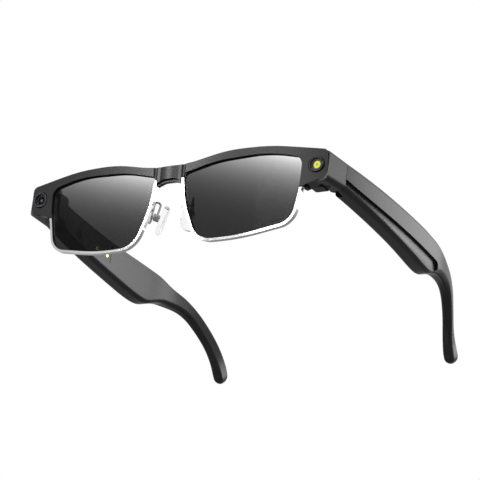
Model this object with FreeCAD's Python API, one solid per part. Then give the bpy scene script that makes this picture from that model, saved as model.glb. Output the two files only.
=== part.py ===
import FreeCAD, Part
import math
import os
from FreeCAD import Vector

# Smart glasses with a camera, a light and hollow temples that fold.
# +X is the wearer's left, +Y runs back along the temples and +Z is up. Millimetres throughout.
# The pieces are drawn about the front's own centre, level with the camera, and moved onto the
# resting plane at the end. Whatever exists on both sides is drawn on the left and mirrored.

# ---- Front: curve, tilt and depth -------------------------------------------------------------
FACE_RADIUS = 480.0            # plan radius of the front face
FACE_Y = -1.0                  # front face at the middle of the bridge
FRONT_TILT = 4.5               # degrees that the lens plane leans, top forward
BROW_DEPTH = 3.2               # brow bar, front to back
ENDPIECE_DEPTH = 6.0           # solid front wall of each endpiece

BRIDGE_TOP_Z = 5.4
BRIDGE_HALF = 6.8              # half width of the raised bridge panel
BRIDGE_ARCH_Z = -0.1           # underside of the bridge at the middle
BRIDGE_FOOT_Z = -1.9           # where the bridge meets the nasal rims
BRIDGE_STEP = 0.45             # depth of the hollows that frame the bridge panel, and their radius
BRIDGE_STEP_RADIUS = 1.5
BRIDGE_SWELL = 0.35            # how far the panel stands proud, and its plan radius
BRIDGE_SWELL_RADIUS = 26.0
ENDPIECE_DROP = 0.9            # top of the endpiece's thick wall below its front edge
BROW_INNER = (27.0, 9.4)       # brow line's inner and outer crests (x, z)
BROW_OUTER = (46.0, 9.6)
ENDPIECE_X = 71.8              # outer edge of the endpiece's front face
ENDPIECE_TOP_Z = 6.0
ENDPIECE_BOTTOM_Z = -6.8
INSIDE_X = ENDPIECE_X - 32.0   # well inside and outside one temple, for cutting tools
OUTSIDE_X = ENDPIECE_X + 18.0
LEG_BOTTOM_Z = -9.3            # lowest point of the leg beside the lens
LEG_X = ENDPIECE_X - 11.6      # inner side of the leg
LEG_FLARE_X = LEG_X + 7.0      # where the endpiece's flat underside begins

# ---- Lenses and rims --------------------------------------------------------------------------
LENS_OUTER_X = LEG_X + 0.4     # lens opening's outer edge, hidden behind the leg
# Lens opening, clockwise from the nasal top corner: x, z, corner radius.
LENS_CORNERS = (
    (6.8, 1.5, 2.0),
    (22.0, 5.3, 60.0),
    (45.0, 6.7, 60.0),
    (LENS_OUTER_X, 3.6, 4.5),
    (LENS_OUTER_X - 0.6, -8.5, 60.0),
    (LENS_OUTER_X - 3.4, -23.6, 8.0),
    (34.0, -28.1, 90.0),
    (15.4, -28.2, 10.0),
    (8.4, -11.5, 45.0),
)
LENS_THICK = 1.5
LENS_SET = 0.6                 # front of the lens behind the front face
LENS_GRIP = 0.5                # how far the lens edge reaches into its groove
BACK_LIP = 0.5                 # wall of the front behind the groove; the opening is wider past it
BACK_STEP = 0.7
RIM_WIDTH = 1.05
RIM_CHEEK = 0.3                # rim in front of and behind the lens
RIM_SET = LENS_SET - RIM_CHEEK
RIM_DEPTH = LENS_THICK + 2 * RIM_CHEEK
RIM_TUCK = 1.6                 # rim ends hidden inside the front
SEAT_CLEAR = 0.05              # gap round pieces that seat in one another
RIM_LUG_X = (LENS_OUTER_X + 0.2, LENS_OUTER_X + 2.4)
RIM_LUG_Y = (4.9, 6.8)
RIM_LUG_Z = (LEG_BOTTOM_Z + 0.1, LEG_BOTTOM_Z + 1.3)
RIM_SCREW_R = 0.4
RIM_SCREW_HEAD_R = 0.75
RIM_SCREW_HEAD = 0.35
RIM_SCREW_REACH = 3.4
BRIDGE_BAR_SET = 1.0           # bar under the bridge: setback, depth and height
BRIDGE_BAR_DEPTH = 2.0
BRIDGE_BAR_HEIGHT = 1.0

# ---- Camera and light ------------------------------------------------------------------------
EYE_X = ENDPIECE_X - 5.1       # centre of the camera or light
EYE_Z = -0.3
BEZEL_R = 3.5
BEZEL_LENGTH = 3.2
BEZEL_PROUD = 0.6
BEZEL_CREST_R = (3.15, 2.85)   # raised lip of the bezel
WINDOW_R = 2.4
WINDOW_DEPTH = -0.3            # window's outer face behind the front face
WINDOW_THICK = 0.4
THROAT_R = 1.9                 # bore of the bezel behind the window
BARREL_R = 2.9
BARREL_BORE_R = 1.6
BARREL_LENGTH = 2.6
LENS_CUP_R = 1.5               # small glass element in the camera barrel
EMITTER_R = 1.7
EYE_BOARD = (6.8, 7.0, 0.8)    # width, height and thickness of the board behind the camera or light
EYE_BOARD_X = EYE_X - 1.7      # middle of that board, and how far its face lies behind the front's
EYE_BOARD_SET = 6.95
CHIP_SIDE = 2.0
CHIP_THICK = 0.5

# ---- Endpiece covers -------------------------------------------------------------------------
COVER_FRONT_Y = 8.6
COVER_REAR_Y = 16.0
SEAM_Y = COVER_REAR_Y + 2.0    # front end of the temples
SEAM_GAP = 0.3
COVER_INNER_X = ENDPIECE_X - 11.4
COVER_OUTER_X = ENDPIECE_X - 2.2
COVER_TOP_Z = 5.6
COVER_BOTTOM_Z = -7.0
COVER_WALL = 1.0
COVER_ROUND = 1.6
SHELF_X = COVER_OUTER_X - 2.8  # inner edge of the shelf under the cover
SHELF_TOP_Z = -5.1
COVER_SCREW_X = SHELF_X + 1.4
COVER_SCREW_Y = 12.6
COVER_SCREW_R = 0.5
COVER_SCREW_HEAD_R = 0.9
COVER_SCREW_REACH = 3.0

# ---- Hinges ----------------------------------------------------------------------------------
KNUCKLE_R = 2.0
LEAF_THICK = 1.2
HINGE_X = COVER_OUTER_X - 3.1
HINGE_Y = COVER_REAR_Y + LEAF_THICK + KNUCKLE_R + 1.2
HINGE_TOP_Z = 4.9
HINGE_BOTTOM_Z = -4.3
MID_KNUCKLE = 3.4              # height of the moving knuckle
KNUCKLE_GAP = 0.08             # axial gap each side of the moving knuckle
PIN_R = 0.7
PIN_HEAD_R = 1.25
PIN_HEAD = 0.5
PIN_FIT = 0.04                 # radial running clearance
LEAF_X = (HINGE_X - 3.6, HINGE_X + 2.7)
LEAF_Z = (-3.7, 4.3)
LEAF_SCREW_X = LEAF_X[0] + 1.1
LEAF_SCREW_Z = (-2.3, 2.9)
LEAF_SCREW_R = 0.5
LEAF_SCREW_HEAD_R = 0.9
LEAF_SCREW_HEAD = 0.4
KNUCKLE_ARM = 1.2              # half width of the arms that carry the fixed knuckles
MOVING_LEAF_X = HINGE_X + KNUCKLE_R - 0.5
MOVING_LEAF_LENGTH = 10.8
NOTCH_GAP = 0.3                # round the moving leaf, and behind the knuckles
NOTCH_X = MOVING_LEAF_X + LEAF_THICK + NOTCH_GAP
NOTCH_Y = HINGE_Y + KNUCKLE_R + NOTCH_GAP + 0.1

# ---- Temples ---------------------------------------------------------------------------------
TEMPLE_TOP_Z = 5.9
EAR_Y = 107.0                  # where the straight part runs into the ear bend
SHELL_WALL = 2.6               # outer wall, measured from the untouched outer face
BATTERY_THICK = 3.2
PANEL_THICK = 1.2
TEMPLE_WIDTH = SHELL_WALL + BATTERY_THICK + PANEL_THICK + 0.8
TEMPLE_OUTER_X = ENDPIECE_X + 1.2          # outer face at the seam
BOW_MID = (TEMPLE_OUTER_X + 2.8, (SEAM_Y + EAR_Y) / 2 + 1.5)     # outermost point of the bow (x, y)
BOW_END = (TEMPLE_OUTER_X + 0.6, EAR_Y)
# Straight part, front to back: y, underside z, drop of the top edge.
UNDERSIDE = (
    (SEAM_Y, -5.9, 0.0),
    (50.0, -8.3, 0.0),
    (EAR_Y - 33.0, -10.1, 0.0),
    (EAR_Y - 19.0, -11.1, 0.0),
    (EAR_Y - 12.0, -10.4, 0.2),
    (EAR_Y - 4.0, -6.9, 0.8),
)
# Ear bend, front to back: centre inward from the middle of the straight part, y past it and z,
# then how much narrower than the straight part the section is, and its height.
EAR_BEND = (
    (0.0, 4.5, -0.85, 0.9, 8.7),
    (1.7, 12.5, -1.3, 1.8, 7.1),
    (3.7, 20.5, -3.5, 2.6, 6.2),
    (5.8, 27.3, -7.8, 3.1, 6.3),
    (7.9, 33.2, -13.1, 3.3, 6.2),
    (9.5, 38.2, -19.2, 3.2, 6.5),
    (10.0, 42.0, -24.6, 3.0, 6.9),
    (9.9, 44.6, -28.8, 3.2, 6.5),
)
TEMPLE_SECTIONS = 28           # sections that the temple is lofted through
TIP_ROUND = 3.2                # length over which the ear tip rounds off, and its sections
TIP_SECTIONS = 6
BEND_START_Y = EAR_Y - 7.0     # sections start to lean here, over the next stretch
BEND_EASE = 20.0
TOP_CHAMFER = (0.5, 1.2)         # inward and down
UNDER_ROUND = 2.2
INNER_ROUND = 1.9
TOP_WALL = 2.1
FLOOR_WALL = 1.8
PANEL_TOP_Z = 4.0
PANEL_LEDGE = 1.2              # underside of the temple to the panel's lower edge
# Inner panel's rear end, clockwise from the top: y past the straight part, z, corner radius.
PANEL_REAR = (
    (-3.0, 4.0, 20.0),
    (10.0, 1.5, 20.0),
    (19.0, -2.6, 1.8),
    (15.5, -4.9, 1.8),
    (4.0, -3.9, 10.0),
    (-3.5, -5.7, 8.0),
    (-11.5, -9.3, 3.5),
    (-19.0, -9.9, 12.0),
)
PANEL_FRONT_Y = NOTCH_Y + 2.2
CAVITY_Y = (PANEL_FRONT_Y + 1.2, EAR_Y - 8.0)
CAVITY_RISE = 11.0             # length over which the cavity's floor rises at the rear
FLUTE_DEPTH = 1.2
FLUTE_STEP_FRONT_Z = -0.9      # upper edge of the flute at the seam, and further back
FLUTE_STEP_REAR_Z = -2.8
FLUTE_STEP_FADE = 16.0
FLUTE_LIP = 0.45               # depth left at the flute's lower edge
FLUTE_RAIL = 1.3               # rail left below the flute
FLUTE_END_Y = EAR_Y - 7.5
FLUTE_SECTIONS = 12

# ---- Electronics in the temples --------------------------------------------------------------
BATTERY_Y = (62.0, CAVITY_Y[1] - 3.0)
BATTERY_Z = (-5.6, 1.8)
BOARD_Y = (39.5, 60.6)
DRIVER_END_Y = 53.0            # the light's driver board is shorter
BOARD_TOP_Z = 1.2
BOARD_LIFT = 0.1               # board above the cavity's floor at its front end
TEMPLE_BOARD_THICK = 0.8
PART_GAP = 0.25                # air round the parts packed in the cavity
SPEAKER_Y = 34.8
SPEAKER_Z = -2.2
SPEAKER_R = 2.8
SPEAKER_DEPTH = 2.2
GRILLE_R = 2.3
GRILLE_THICK = 0.5
GRILLE_HOLE_R = 0.22
GRILLE_PITCH = 0.85
GRILLE_RINGS = 2
CONTACT_Y = (51.4, 59.6)
CONTACT_Z = -1.6
CONTACT_R = 1.0
SEAT_PAD = (14.0, 5.6)         # flat charging seat, along Y and Z
SEAT_DEPTH = 0.12
MAGNET_R = 1.6
MAGNET_THICK = 1.2
BOARD_INSET = TEMPLE_WIDTH - 3.6           # board's outer face, inward from the temple's
BUTTON_Y = 47.0
BUTTON_INSET = TEMPLE_WIDTH - 3.2          # button centre, inward from the outer face
BUTTON_LENGTH = 8.0
BUTTON_WIDTH = 2.2
BUTTON_PROUD = 0.6
BUTTON_CLEAR = 0.15
BUTTON_FLANGE = 0.6            # how far the flange stands out, and its thickness
BUTTON_TRAVEL = 0.35           # how far a button can be pressed
SWITCH_SIZE = (3.0, 2.4, 1.0)

# ---- Nose pads -------------------------------------------------------------------------------
PAD_CENTRE = (6.0, 7.6, -14.5)
PAD_HEIGHT = 13.6
PAD_WIDTH = 7.0
PAD_THICK = 2.2
PAD_SPLAY = 30.0               # degrees the pad opens towards the face
PAD_RAKE = 13.0                # degrees the pad opens downwards
PAD_ROUND = 1.0
STEM_HALF = (0.7, 0.55)        # stem's half width and half height
STEM_END = 0.7                 # stem past the rocking axis
BOX_SIZE = 2.6
BOX_WALL = 0.4
BOX_OFFSET = 2.8               # rocking axis behind the pad's middle
PAD_SCREW_R = 0.3
PAD_SCREW_HEAD_R = 0.6
ARM_R = 0.45
ARM_FOOT = (9.9, 2.7, -16.6)
ARM_LOOP = ((10.4, 5.1, -17.0), (9.3, 5.2, -7.0), (7.6, 7.5, -6.9))
ARM_BEND = 1.2


def mirrored(shape):
    return shape.mirror(Vector(0, 0, 0), Vector(1, 0, 0))


def rounded_loop(corners):
    """Closed wire in the XZ plane, from corners (x, z, radius); a radius of 0 stays sharp."""
    points = [Vector(x, 0, z) for x, z, _ in corners]
    stops = []
    edges = []
    for index, corner in enumerate(points):
        radius = corners[index][2]
        if radius == 0:
            stops.append((corner, corner))
            continue
        before = (points[index - 1] - corner).normalize()
        after = (points[(index + 1) % len(points)] - corner).normalize()
        half_turn = (math.pi - before.getAngle(after)) / 2
        reach = radius * math.tan(half_turn)
        start = corner + before * reach
        end = corner + after * reach
        inward = (before + after).normalize()
        middle = corner + inward * (radius / math.cos(half_turn) - radius)
        edges.append(Part.Arc(start, middle, end).toShape())
        stops.append((start, end))
    for index, stop in enumerate(stops):
        leave = stop[1]
        arrive = stops[(index + 1) % len(stops)][0]
        if (arrive - leave).Length > 1e-6:
            edges.append(Part.makeLine(leave, arrive))
    return Part.Wire(Part.__sortEdges__(edges))


def through_front(wire):
    """Prism of a wire in the XZ plane, right through the front."""
    face = Part.Face(wire)
    face.translate(Vector(0, -20, 0))
    return face.extrude(Vector(0, 60, 0))


def plate(prism, setback, depth):
    """Curved slice of a prism: its front lies setback behind the front face."""
    axis_foot = Vector(0, FACE_Y + FACE_RADIUS, -60)
    outer = Part.makeCylinder(FACE_RADIUS - setback, 120, axis_foot)
    inner = Part.makeCylinder(FACE_RADIUS - setback - depth, 120, axis_foot)
    return prism.common(outer).cut(inner)


def tilted(shape):
    return shape.rotated(Vector(0, 0, 0), Vector(1, 0, 0), FRONT_TILT)


def face_y(x, setback=0.0):
    """Depth of the front face at x, before the tilt."""
    radius = FACE_RADIUS - setback
    return FACE_Y + FACE_RADIUS - math.sqrt(radius * radius - x * x)


def box(x0, x1, y0, y1, z0, z1):
    return Part.makeBox(x1 - x0, y1 - y0, z1 - z0, Vector(x0, y0, z0))


def rod(radius, start, end):
    return Part.makeCylinder(radius, (end - start).Length, start, end - start)


def lens_loop(grow=0.0):
    loop = rounded_loop(LENS_CORNERS)
    if grow:
        loop = loop.makeOffset2D(grow)
    return loop


# ---- The moulded front ------------------------------------------------------------------------
def brow_outline():
    """Half outline of the brow, bridge and endpiece, closed on the middle plane."""
    return (
        (0, BRIDGE_TOP_Z, 0),
        (8.5, BRIDGE_TOP_Z, 60),
        (BROW_INNER[0], BROW_INNER[1], 70),
        (BROW_OUTER[0], BROW_OUTER[1], 100),
        (ENDPIECE_X - 0.5, ENDPIECE_TOP_Z, 2.2),
        (ENDPIECE_X, ENDPIECE_BOTTOM_Z, 1.6),
        (LEG_FLARE_X, ENDPIECE_BOTTOM_Z, 2),
        (LEG_X, LEG_BOTTOM_Z, 0.8),
        (LEG_X - 4, LEG_BOTTOM_Z, 0),
        (8.4, BRIDGE_FOOT_Z, 0),
        (6.6, BRIDGE_FOOT_Z, 0.5),
        (3.2, BRIDGE_ARCH_Z, 6.0),
        (0, BRIDGE_ARCH_Z, 0),
    )


def front_frame():
    half = through_front(rounded_loop(brow_outline()))
    brow = plate(half, 0, BROW_DEPTH)
    wall = box(LEG_X - 0.2, ENDPIECE_X + 1, -20, 40, -20, ENDPIECE_TOP_Z - ENDPIECE_DROP)
    brow = brow.fuse(plate(half.common(wall), 0, ENDPIECE_DEPTH))
    brow = brow.fuse(bridge_panel(half))
    brow = brow.fuse(mirrored(brow)).removeSplitter()
    brow = brow.cut(bridge_facets())
    for side in (lambda shape: shape, mirrored):
        brow = brow.cut(side(through_front(lens_loop())))
        brow = brow.cut(side(lens_blank(LENS_GRIP + SEAT_CLEAR, SEAT_CLEAR)))
        brow = brow.cut(side(rim_ring(SEAT_CLEAR)))
        brow = brow.cut(side(plate(through_front(lens_loop(BACK_STEP)),
                                   LENS_SET + LENS_THICK + BACK_LIP, 2 * ENDPIECE_DEPTH)))
    brow = tilted(brow)
    for side in (lambda shape: shape, mirrored):
        brow = brow.fuse(side(endpiece_side()))
        brow = brow.cut(side(eye_disc(BEZEL_R + SEAT_CLEAR, -4, BEZEL_LENGTH + SEAT_CLEAR)))
        brow = brow.cut(side(eye_disc(BARREL_R + SEAT_CLEAR, -4, 2 * ENDPIECE_DEPTH)))
        brow = brow.cut(side(rim_screw(SEAT_CLEAR))).cut(side(lug_pocket()))
        brow = brow.cut(side(cover_screw_hole()))
    return max(brow.removeSplitter().Solids, key=lambda solid: solid.Volume)


def bridge_panel(half):
    """Left half of the swelling in the middle of the bridge."""
    front_y = FACE_Y - BRIDGE_SWELL
    foot = Vector(0, front_y + BRIDGE_SWELL_RADIUS, -60)
    swell = half.common(Part.makeCylinder(BRIDGE_SWELL_RADIUS, 120, foot))
    return swell.common(box(0, BRIDGE_HALF, -20, FACE_Y + 1.5, -20, 20))


def bridge_facets():
    """Round-bottomed hollows either side of the bridge panel."""
    steps = []
    for sign in (-1, 1):
        foot = Vector(sign * BRIDGE_HALF, FACE_Y + BRIDGE_STEP - BRIDGE_STEP_RADIUS, -20)
        steps.append(Part.makeCylinder(BRIDGE_STEP_RADIUS, 40, foot))
    return steps[0].fuse(steps[1])


def lens_blank(grow, clear=0.0):
    """Lens edge to edge, in the untilted front."""
    prism = through_front(lens_loop(grow))
    return plate(prism, LENS_SET - clear, LENS_THICK + 2 * clear)


def rim_ring(clear=0.0):
    """Half rim with its ends tucked into the front, before its lens groove is cut."""
    ring = through_front(lens_loop(RIM_WIDTH + clear)).cut(through_front(lens_loop()))
    top = RIM_TUCK + clear
    below = rounded_loop((
        (LEG_X + 5, LEG_BOTTOM_Z + top, 0),
        (LEG_X - 4, LEG_BOTTOM_Z + top, 0),
        (12.0, BRIDGE_FOOT_Z + top, 0),
        (2.0, BRIDGE_FOOT_Z + top, 0),
        (2.0, -40, 0),
        (LEG_X + 5, -40, 0),
    ))
    ring = ring.common(through_front(below))
    return plate(ring, RIM_SET - clear, RIM_DEPTH + 2 * clear)


def lug_pocket():
    """Room in the leg for the rim's lug, open below."""
    return box(RIM_LUG_X[0] - SEAT_CLEAR, RIM_LUG_X[1] + SEAT_CLEAR, RIM_LUG_Y[0] - SEAT_CLEAR,
               RIM_LUG_Y[1] + SEAT_CLEAR, LEG_BOTTOM_Z - 2, RIM_LUG_Z[1] + SEAT_CLEAR)


def rim_wire():
    """Half rim with its lens groove and the lug that screws up under the endpiece."""
    wire = tilted(rim_ring().cut(lens_blank(LENS_GRIP + SEAT_CLEAR, SEAT_CLEAR)))
    wire = wire.fuse(box(*RIM_LUG_X, *RIM_LUG_Y, *RIM_LUG_Z)).removeSplitter()
    return wire.cut(rim_screw(SEAT_CLEAR))


def lens():
    return tilted(lens_blank(LENS_GRIP))


def bridge_bar(front):
    """Dark metal bar under the bridge, from one rim to the other."""
    low = BRIDGE_ARCH_Z - BRIDGE_BAR_HEIGHT
    half = (
        (0, BRIDGE_ARCH_Z + 0.4, 0),
        (4.0, BRIDGE_ARCH_Z + 0.4, 0),
        (7.2, BRIDGE_FOOT_Z + 0.4, 0),
        (7.2, BRIDGE_FOOT_Z - 0.8, 0),
        (6.0, BRIDGE_FOOT_Z - 0.5, 0),
        (2.8, low, 6.0),
        (0, low, 0),
    )
    bar = plate(through_front(rounded_loop(half)), BRIDGE_BAR_SET, BRIDGE_BAR_DEPTH)
    bar = tilted(bar.fuse(mirrored(bar)).removeSplitter())
    for seat in (tilted(rim_ring()), tilted(lens_blank(LENS_GRIP, SEAT_CLEAR))):
        bar = bar.cut(seat).cut(mirrored(seat))
    bar = bar.cut(front)
    return max(bar.Solids, key=lambda solid: solid.Volume)


# ---- Camera and light -------------------------------------------------------------------------
def eye_turned(profile):
    """Solid of revolution on the eye's axis. profile: radius, depth behind the front face."""
    points = [Vector(radius, 0, -depth) for radius, depth in profile]
    face = Part.Face(Part.makePolygon(points + points[:1]))
    solid = face.revolve(Vector(0, 0, 0), Vector(0, 0, 1), 360)
    solid = solid.rotated(Vector(0, 0, 0), Vector(1, 0, 0), 90)
    return tilted(solid.translated(Vector(EYE_X, face_y(EYE_X), EYE_Z)))


def eye_disc(radius, front, rear):
    return eye_turned(((0, front), (radius, front), (radius, rear), (0, rear)))


def eye_ring(outer_r, inner_r, front, rear):
    return eye_turned(((inner_r, front), (outer_r, front), (outer_r, rear), (inner_r, rear)))


def bezel():
    seat = WINDOW_DEPTH + WINDOW_THICK + SEAT_CLEAR
    return eye_turned((
        (BEZEL_R, 0.15),
        (BEZEL_CREST_R[0], -BEZEL_PROUD),
        (BEZEL_CREST_R[1], -BEZEL_PROUD),
        (WINDOW_R + SEAT_CLEAR, WINDOW_DEPTH - 0.1),
        (WINDOW_R + SEAT_CLEAR, seat),
        (THROAT_R, seat),
        (THROAT_R, BEZEL_LENGTH),
        (BEZEL_R, BEZEL_LENGTH),
    ))


def window():
    return eye_disc(WINDOW_R, WINDOW_DEPTH, WINDOW_DEPTH + WINDOW_THICK)


def barrel():
    """Sleeve behind the bezel that holds the small glass element or carries the light."""
    front = BEZEL_LENGTH + 2 * SEAT_CLEAR
    return eye_ring(BARREL_R, BARREL_BORE_R, front, front + BARREL_LENGTH)


def camera_glass():
    """Domed glass element at the mouth of the camera barrel."""
    front = BEZEL_LENGTH + 2 * SEAT_CLEAR
    profile = [(0, front + 1.4)]
    for step in range(5, -1, -1):
        radius = LENS_CUP_R * step / 5
        profile.append((radius, front + 0.5 * (radius / LENS_CUP_R) ** 2))
    profile.insert(1, (LENS_CUP_R, front + 1.4))
    return eye_turned(profile)


def light_reflector():
    """Bright cup round the emitter, inside the bezel's throat."""
    front = WINDOW_DEPTH + WINDOW_THICK + 2 * SEAT_CLEAR
    outer = THROAT_R - SEAT_CLEAR
    return eye_turned((
        (outer, front),
        (outer, front + 1.6),
        (EMITTER_R - 0.4, front + 1.6),
        (EMITTER_R - 0.4, front + 0.8),
        (EMITTER_R + 0.05, front + 0.05),
    ))


def light_emitter():
    """Yellow disc with a small raised middle."""
    front = WINDOW_DEPTH + WINDOW_THICK + 2 * SEAT_CLEAR
    rear = front + 0.75
    return eye_turned((
        (0, front + 0.05),
        (0.5, front + 0.05),
        (0.62, front + 0.15),
        (EMITTER_R - 0.45, front + 0.15),
        (EMITTER_R - 0.45, rear),
        (0, rear),
    ))


def eye_board():
    """Board behind the camera or light, with its chip facing forward."""
    width, height, thick = EYE_BOARD
    y = face_y(EYE_X) + EYE_BOARD_SET
    middle = EYE_Z + 0.5
    board = box(EYE_BOARD_X - width / 2, EYE_BOARD_X + width / 2, y, y + thick,
                middle - height / 2, middle + height / 2)
    chip = box(EYE_X - CHIP_SIDE / 2, EYE_X + CHIP_SIDE / 2, y - CHIP_THICK, y,
               middle - CHIP_SIDE / 2, middle + CHIP_SIDE / 2)
    return board.fuse(chip)


# ---- Endpieces --------------------------------------------------------------------------------
def rim_screw(clear=0.0):
    """Small screw up through the rim's lug into the leg of the front."""
    low = Vector(sum(RIM_LUG_X) / 2 + 0.1, sum(RIM_LUG_Y) / 2, RIM_LUG_Z[0])
    shank = rod(RIM_SCREW_R + clear, low, Vector(low.x, low.y, RIM_LUG_Z[1] + RIM_SCREW_REACH))
    head = rod(RIM_SCREW_HEAD_R, low - Vector(0, 0, RIM_SCREW_HEAD), low)
    return shank.fuse(head)


def cover_screw(clear=0.0):
    """Countersunk screw up through the shelf under the endpiece into its cover."""
    low = Vector(COVER_SCREW_X, COVER_SCREW_Y, ENDPIECE_BOTTOM_Z + 0.35)
    shank = rod(COVER_SCREW_R + clear, low, low + Vector(0, 0, COVER_SCREW_REACH + clear))
    sink = COVER_SCREW_HEAD_R - COVER_SCREW_R
    head = Part.makeCone(COVER_SCREW_HEAD_R + clear, COVER_SCREW_R + clear, sink, low)
    return shank.fuse(head)


def cover_screw_hole():
    """Hole for the cover screw, open down to the underside."""
    low = Vector(COVER_SCREW_X, COVER_SCREW_Y, ENDPIECE_BOTTOM_Z - 1)
    mouth = rod(COVER_SCREW_HEAD_R + SEAT_CLEAR, low, low + Vector(0, 0, 1.35))
    return cover_screw(SEAT_CLEAR).fuse(mouth)


def endpiece_side():
    """Side wall and shelf of an endpiece, flush with the front of the temple."""
    rear_y = SEAM_Y - SEAM_GAP
    sections = []
    for y, top, bottom, outer in (
        (face_y(EYE_X) + 1.0, ENDPIECE_TOP_Z - 0.1, ENDPIECE_BOTTOM_Z, ENDPIECE_X),
        (rear_y, TEMPLE_TOP_Z, UNDERSIDE[0][1], TEMPLE_OUTER_X),
    ):
        centre = (outer - TEMPLE_WIDTH / 2, y, (top + bottom) / 2)
        sections.append(temple_section(centre, TEMPLE_WIDTH, top - bottom))
    side = Part.makeLoft(sections, True, True)
    room = box(INSIDE_X, COVER_OUTER_X + SEAT_CLEAR, COVER_FRONT_Y - 0.5, 30, SHELF_TOP_Z, 20)
    room = room.fuse(box(INSIDE_X, SHELF_X, COVER_FRONT_Y - 0.5, 30, -20, 20))
    return side.cut(room)


def rounded_box(x0, x1, y0, y1, z0, z1, radius):
    block = box(x0, x1, y0, y1, z0, z1)
    return block.makeFillet(radius, [edge for edge in block.Edges if edge.BoundBox.YMax > y0 + 1e-3])


def endpiece_cover():
    """Hollow rear cover with a rounded back; its outer part sits on the shelf."""
    cover = rounded_box(COVER_INNER_X, COVER_OUTER_X, COVER_FRONT_Y, COVER_REAR_Y,
                        COVER_BOTTOM_Z, COVER_TOP_Z, COVER_ROUND)
    hollow = box(COVER_INNER_X + COVER_WALL, COVER_OUTER_X - COVER_WALL, COVER_FRONT_Y - 1,
                 COVER_REAR_Y - COVER_WALL, SHELF_TOP_Z + COVER_WALL, COVER_TOP_Z - COVER_WALL)
    cover = cover.cut(hollow)
    shelf = box(SHELF_X - SEAT_CLEAR, OUTSIDE_X, 0, 30, -20, SHELF_TOP_Z + SEAT_CLEAR)
    front_wall = tilted(plate(box(INSIDE_X, OUTSIDE_X, -20, 60, -30, 30), -5, ENDPIECE_DEPTH + SEAT_CLEAR + 5))
    cover = cover.cut(shelf).cut(front_wall).cut(cover_screw(SEAT_CLEAR))
    for z in LEAF_SCREW_Z:
        cover = cover.cut(leaf_screw(z, SEAT_CLEAR))
    return cover


# ---- Hinges ----------------------------------------------------------------------------------
MID_TOP_Z = (HINGE_TOP_Z + HINGE_BOTTOM_Z + MID_KNUCKLE) / 2
MID_BOTTOM_Z = MID_TOP_Z - MID_KNUCKLE


def hinge_rod(radius, z0, z1):
    return rod(radius, Vector(HINGE_X, HINGE_Y, z0), Vector(HINGE_X, HINGE_Y, z1))


def hinge_front():
    """Fixed leaf on the back of the cover, with an upper and a lower knuckle."""
    front_y = COVER_REAR_Y + SEAT_CLEAR
    leaf = box(*LEAF_X, front_y, front_y + LEAF_THICK, *LEAF_Z)
    for z0, z1 in ((HINGE_BOTTOM_Z, MID_BOTTOM_Z - KNUCKLE_GAP), (MID_TOP_Z + KNUCKLE_GAP, HINGE_TOP_Z)):
        arm = box(HINGE_X - KNUCKLE_ARM, HINGE_X + KNUCKLE_ARM, front_y + 0.1, HINGE_Y, z0, z1)
        leaf = leaf.fuse(arm).fuse(hinge_rod(KNUCKLE_R, z0, z1))
    leaf = leaf.cut(hinge_pin(SEAT_CLEAR))
    for z in LEAF_SCREW_Z:
        leaf = leaf.cut(leaf_screw(z, SEAT_CLEAR))
    return leaf.removeSplitter()


def hinge_pin(clear=0.0):
    """Screw pin, its head sunk in the lower knuckle and its end level with the upper one."""
    shank = hinge_rod(PIN_R + clear, HINGE_BOTTOM_Z - clear, HINGE_TOP_Z + clear)
    head = hinge_rod(PIN_HEAD_R + clear, HINGE_BOTTOM_Z - clear, HINGE_BOTTOM_Z + PIN_HEAD + clear)
    return shank.fuse(head)


def leaf_screw(z, clear=0.0):
    """Screw from behind through the fixed leaf into the cover."""
    back = Vector(LEAF_SCREW_X, COVER_REAR_Y + SEAT_CLEAR + LEAF_THICK, z)
    shank = rod(LEAF_SCREW_R + clear, back, back - Vector(0, LEAF_THICK + COVER_WALL + 0.6, 0))
    head = rod(LEAF_SCREW_HEAD_R, back, back + Vector(0, LEAF_SCREW_HEAD, 0))
    return shank.fuse(head)


def hinge_temple():
    """Moving leaf with the middle knuckle; it runs back inside the temple."""
    rear_y = HINGE_Y + MOVING_LEAF_LENGTH
    outer = MOVING_LEAF_X + LEAF_THICK
    leaf = hinge_rod(KNUCKLE_R, MID_BOTTOM_Z, MID_TOP_Z)
    leaf = leaf.fuse(box(HINGE_X, outer, HINGE_Y - 1.0, HINGE_Y + 1.6, MID_BOTTOM_Z, MID_TOP_Z))
    leaf = leaf.fuse(box(MOVING_LEAF_X, outer, HINGE_Y - 1.0, rear_y, MID_BOTTOM_Z, MID_TOP_Z))
    return leaf.cut(hinge_rod(PIN_R + PIN_FIT, -20, 20)).removeSplitter()


# ---- Temple surfaces --------------------------------------------------------------------------
def arc_through(first, middle, last):
    """Centre and radius of the circle through three points (x, y)."""
    (ax, ay), (bx, by), (cx, cy) = first, middle, last
    d = 2 * (ax * (by - cy) + bx * (cy - ay) + cx * (ay - by))
    a2, b2, c2 = ax * ax + ay * ay, bx * bx + by * by, cx * cx + cy * cy
    ux = (a2 * (by - cy) + b2 * (cy - ay) + c2 * (ay - by)) / d
    uy = (a2 * (cx - bx) + b2 * (ax - cx) + c2 * (bx - ax)) / d
    return ux, uy, math.hypot(ax - ux, ay - uy)


BOW = arc_through((TEMPLE_OUTER_X, SEAM_Y), BOW_MID, BOW_END)


def outer_x(y):
    """Untouched outer face of the temple."""
    return BOW[0] + math.sqrt(BOW[2] ** 2 - (y - BOW[1]) ** 2)


def underside_z(y):
    """Underside of the straight part, between its stations."""
    for (y0, z0, _), (y1, z1, _) in zip(UNDERSIDE, UNDERSIDE[1:]):
        if y <= y1:
            return z0 + (z1 - z0) * (y - y0) / (y1 - y0)
    return UNDERSIDE[-1][1]


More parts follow.
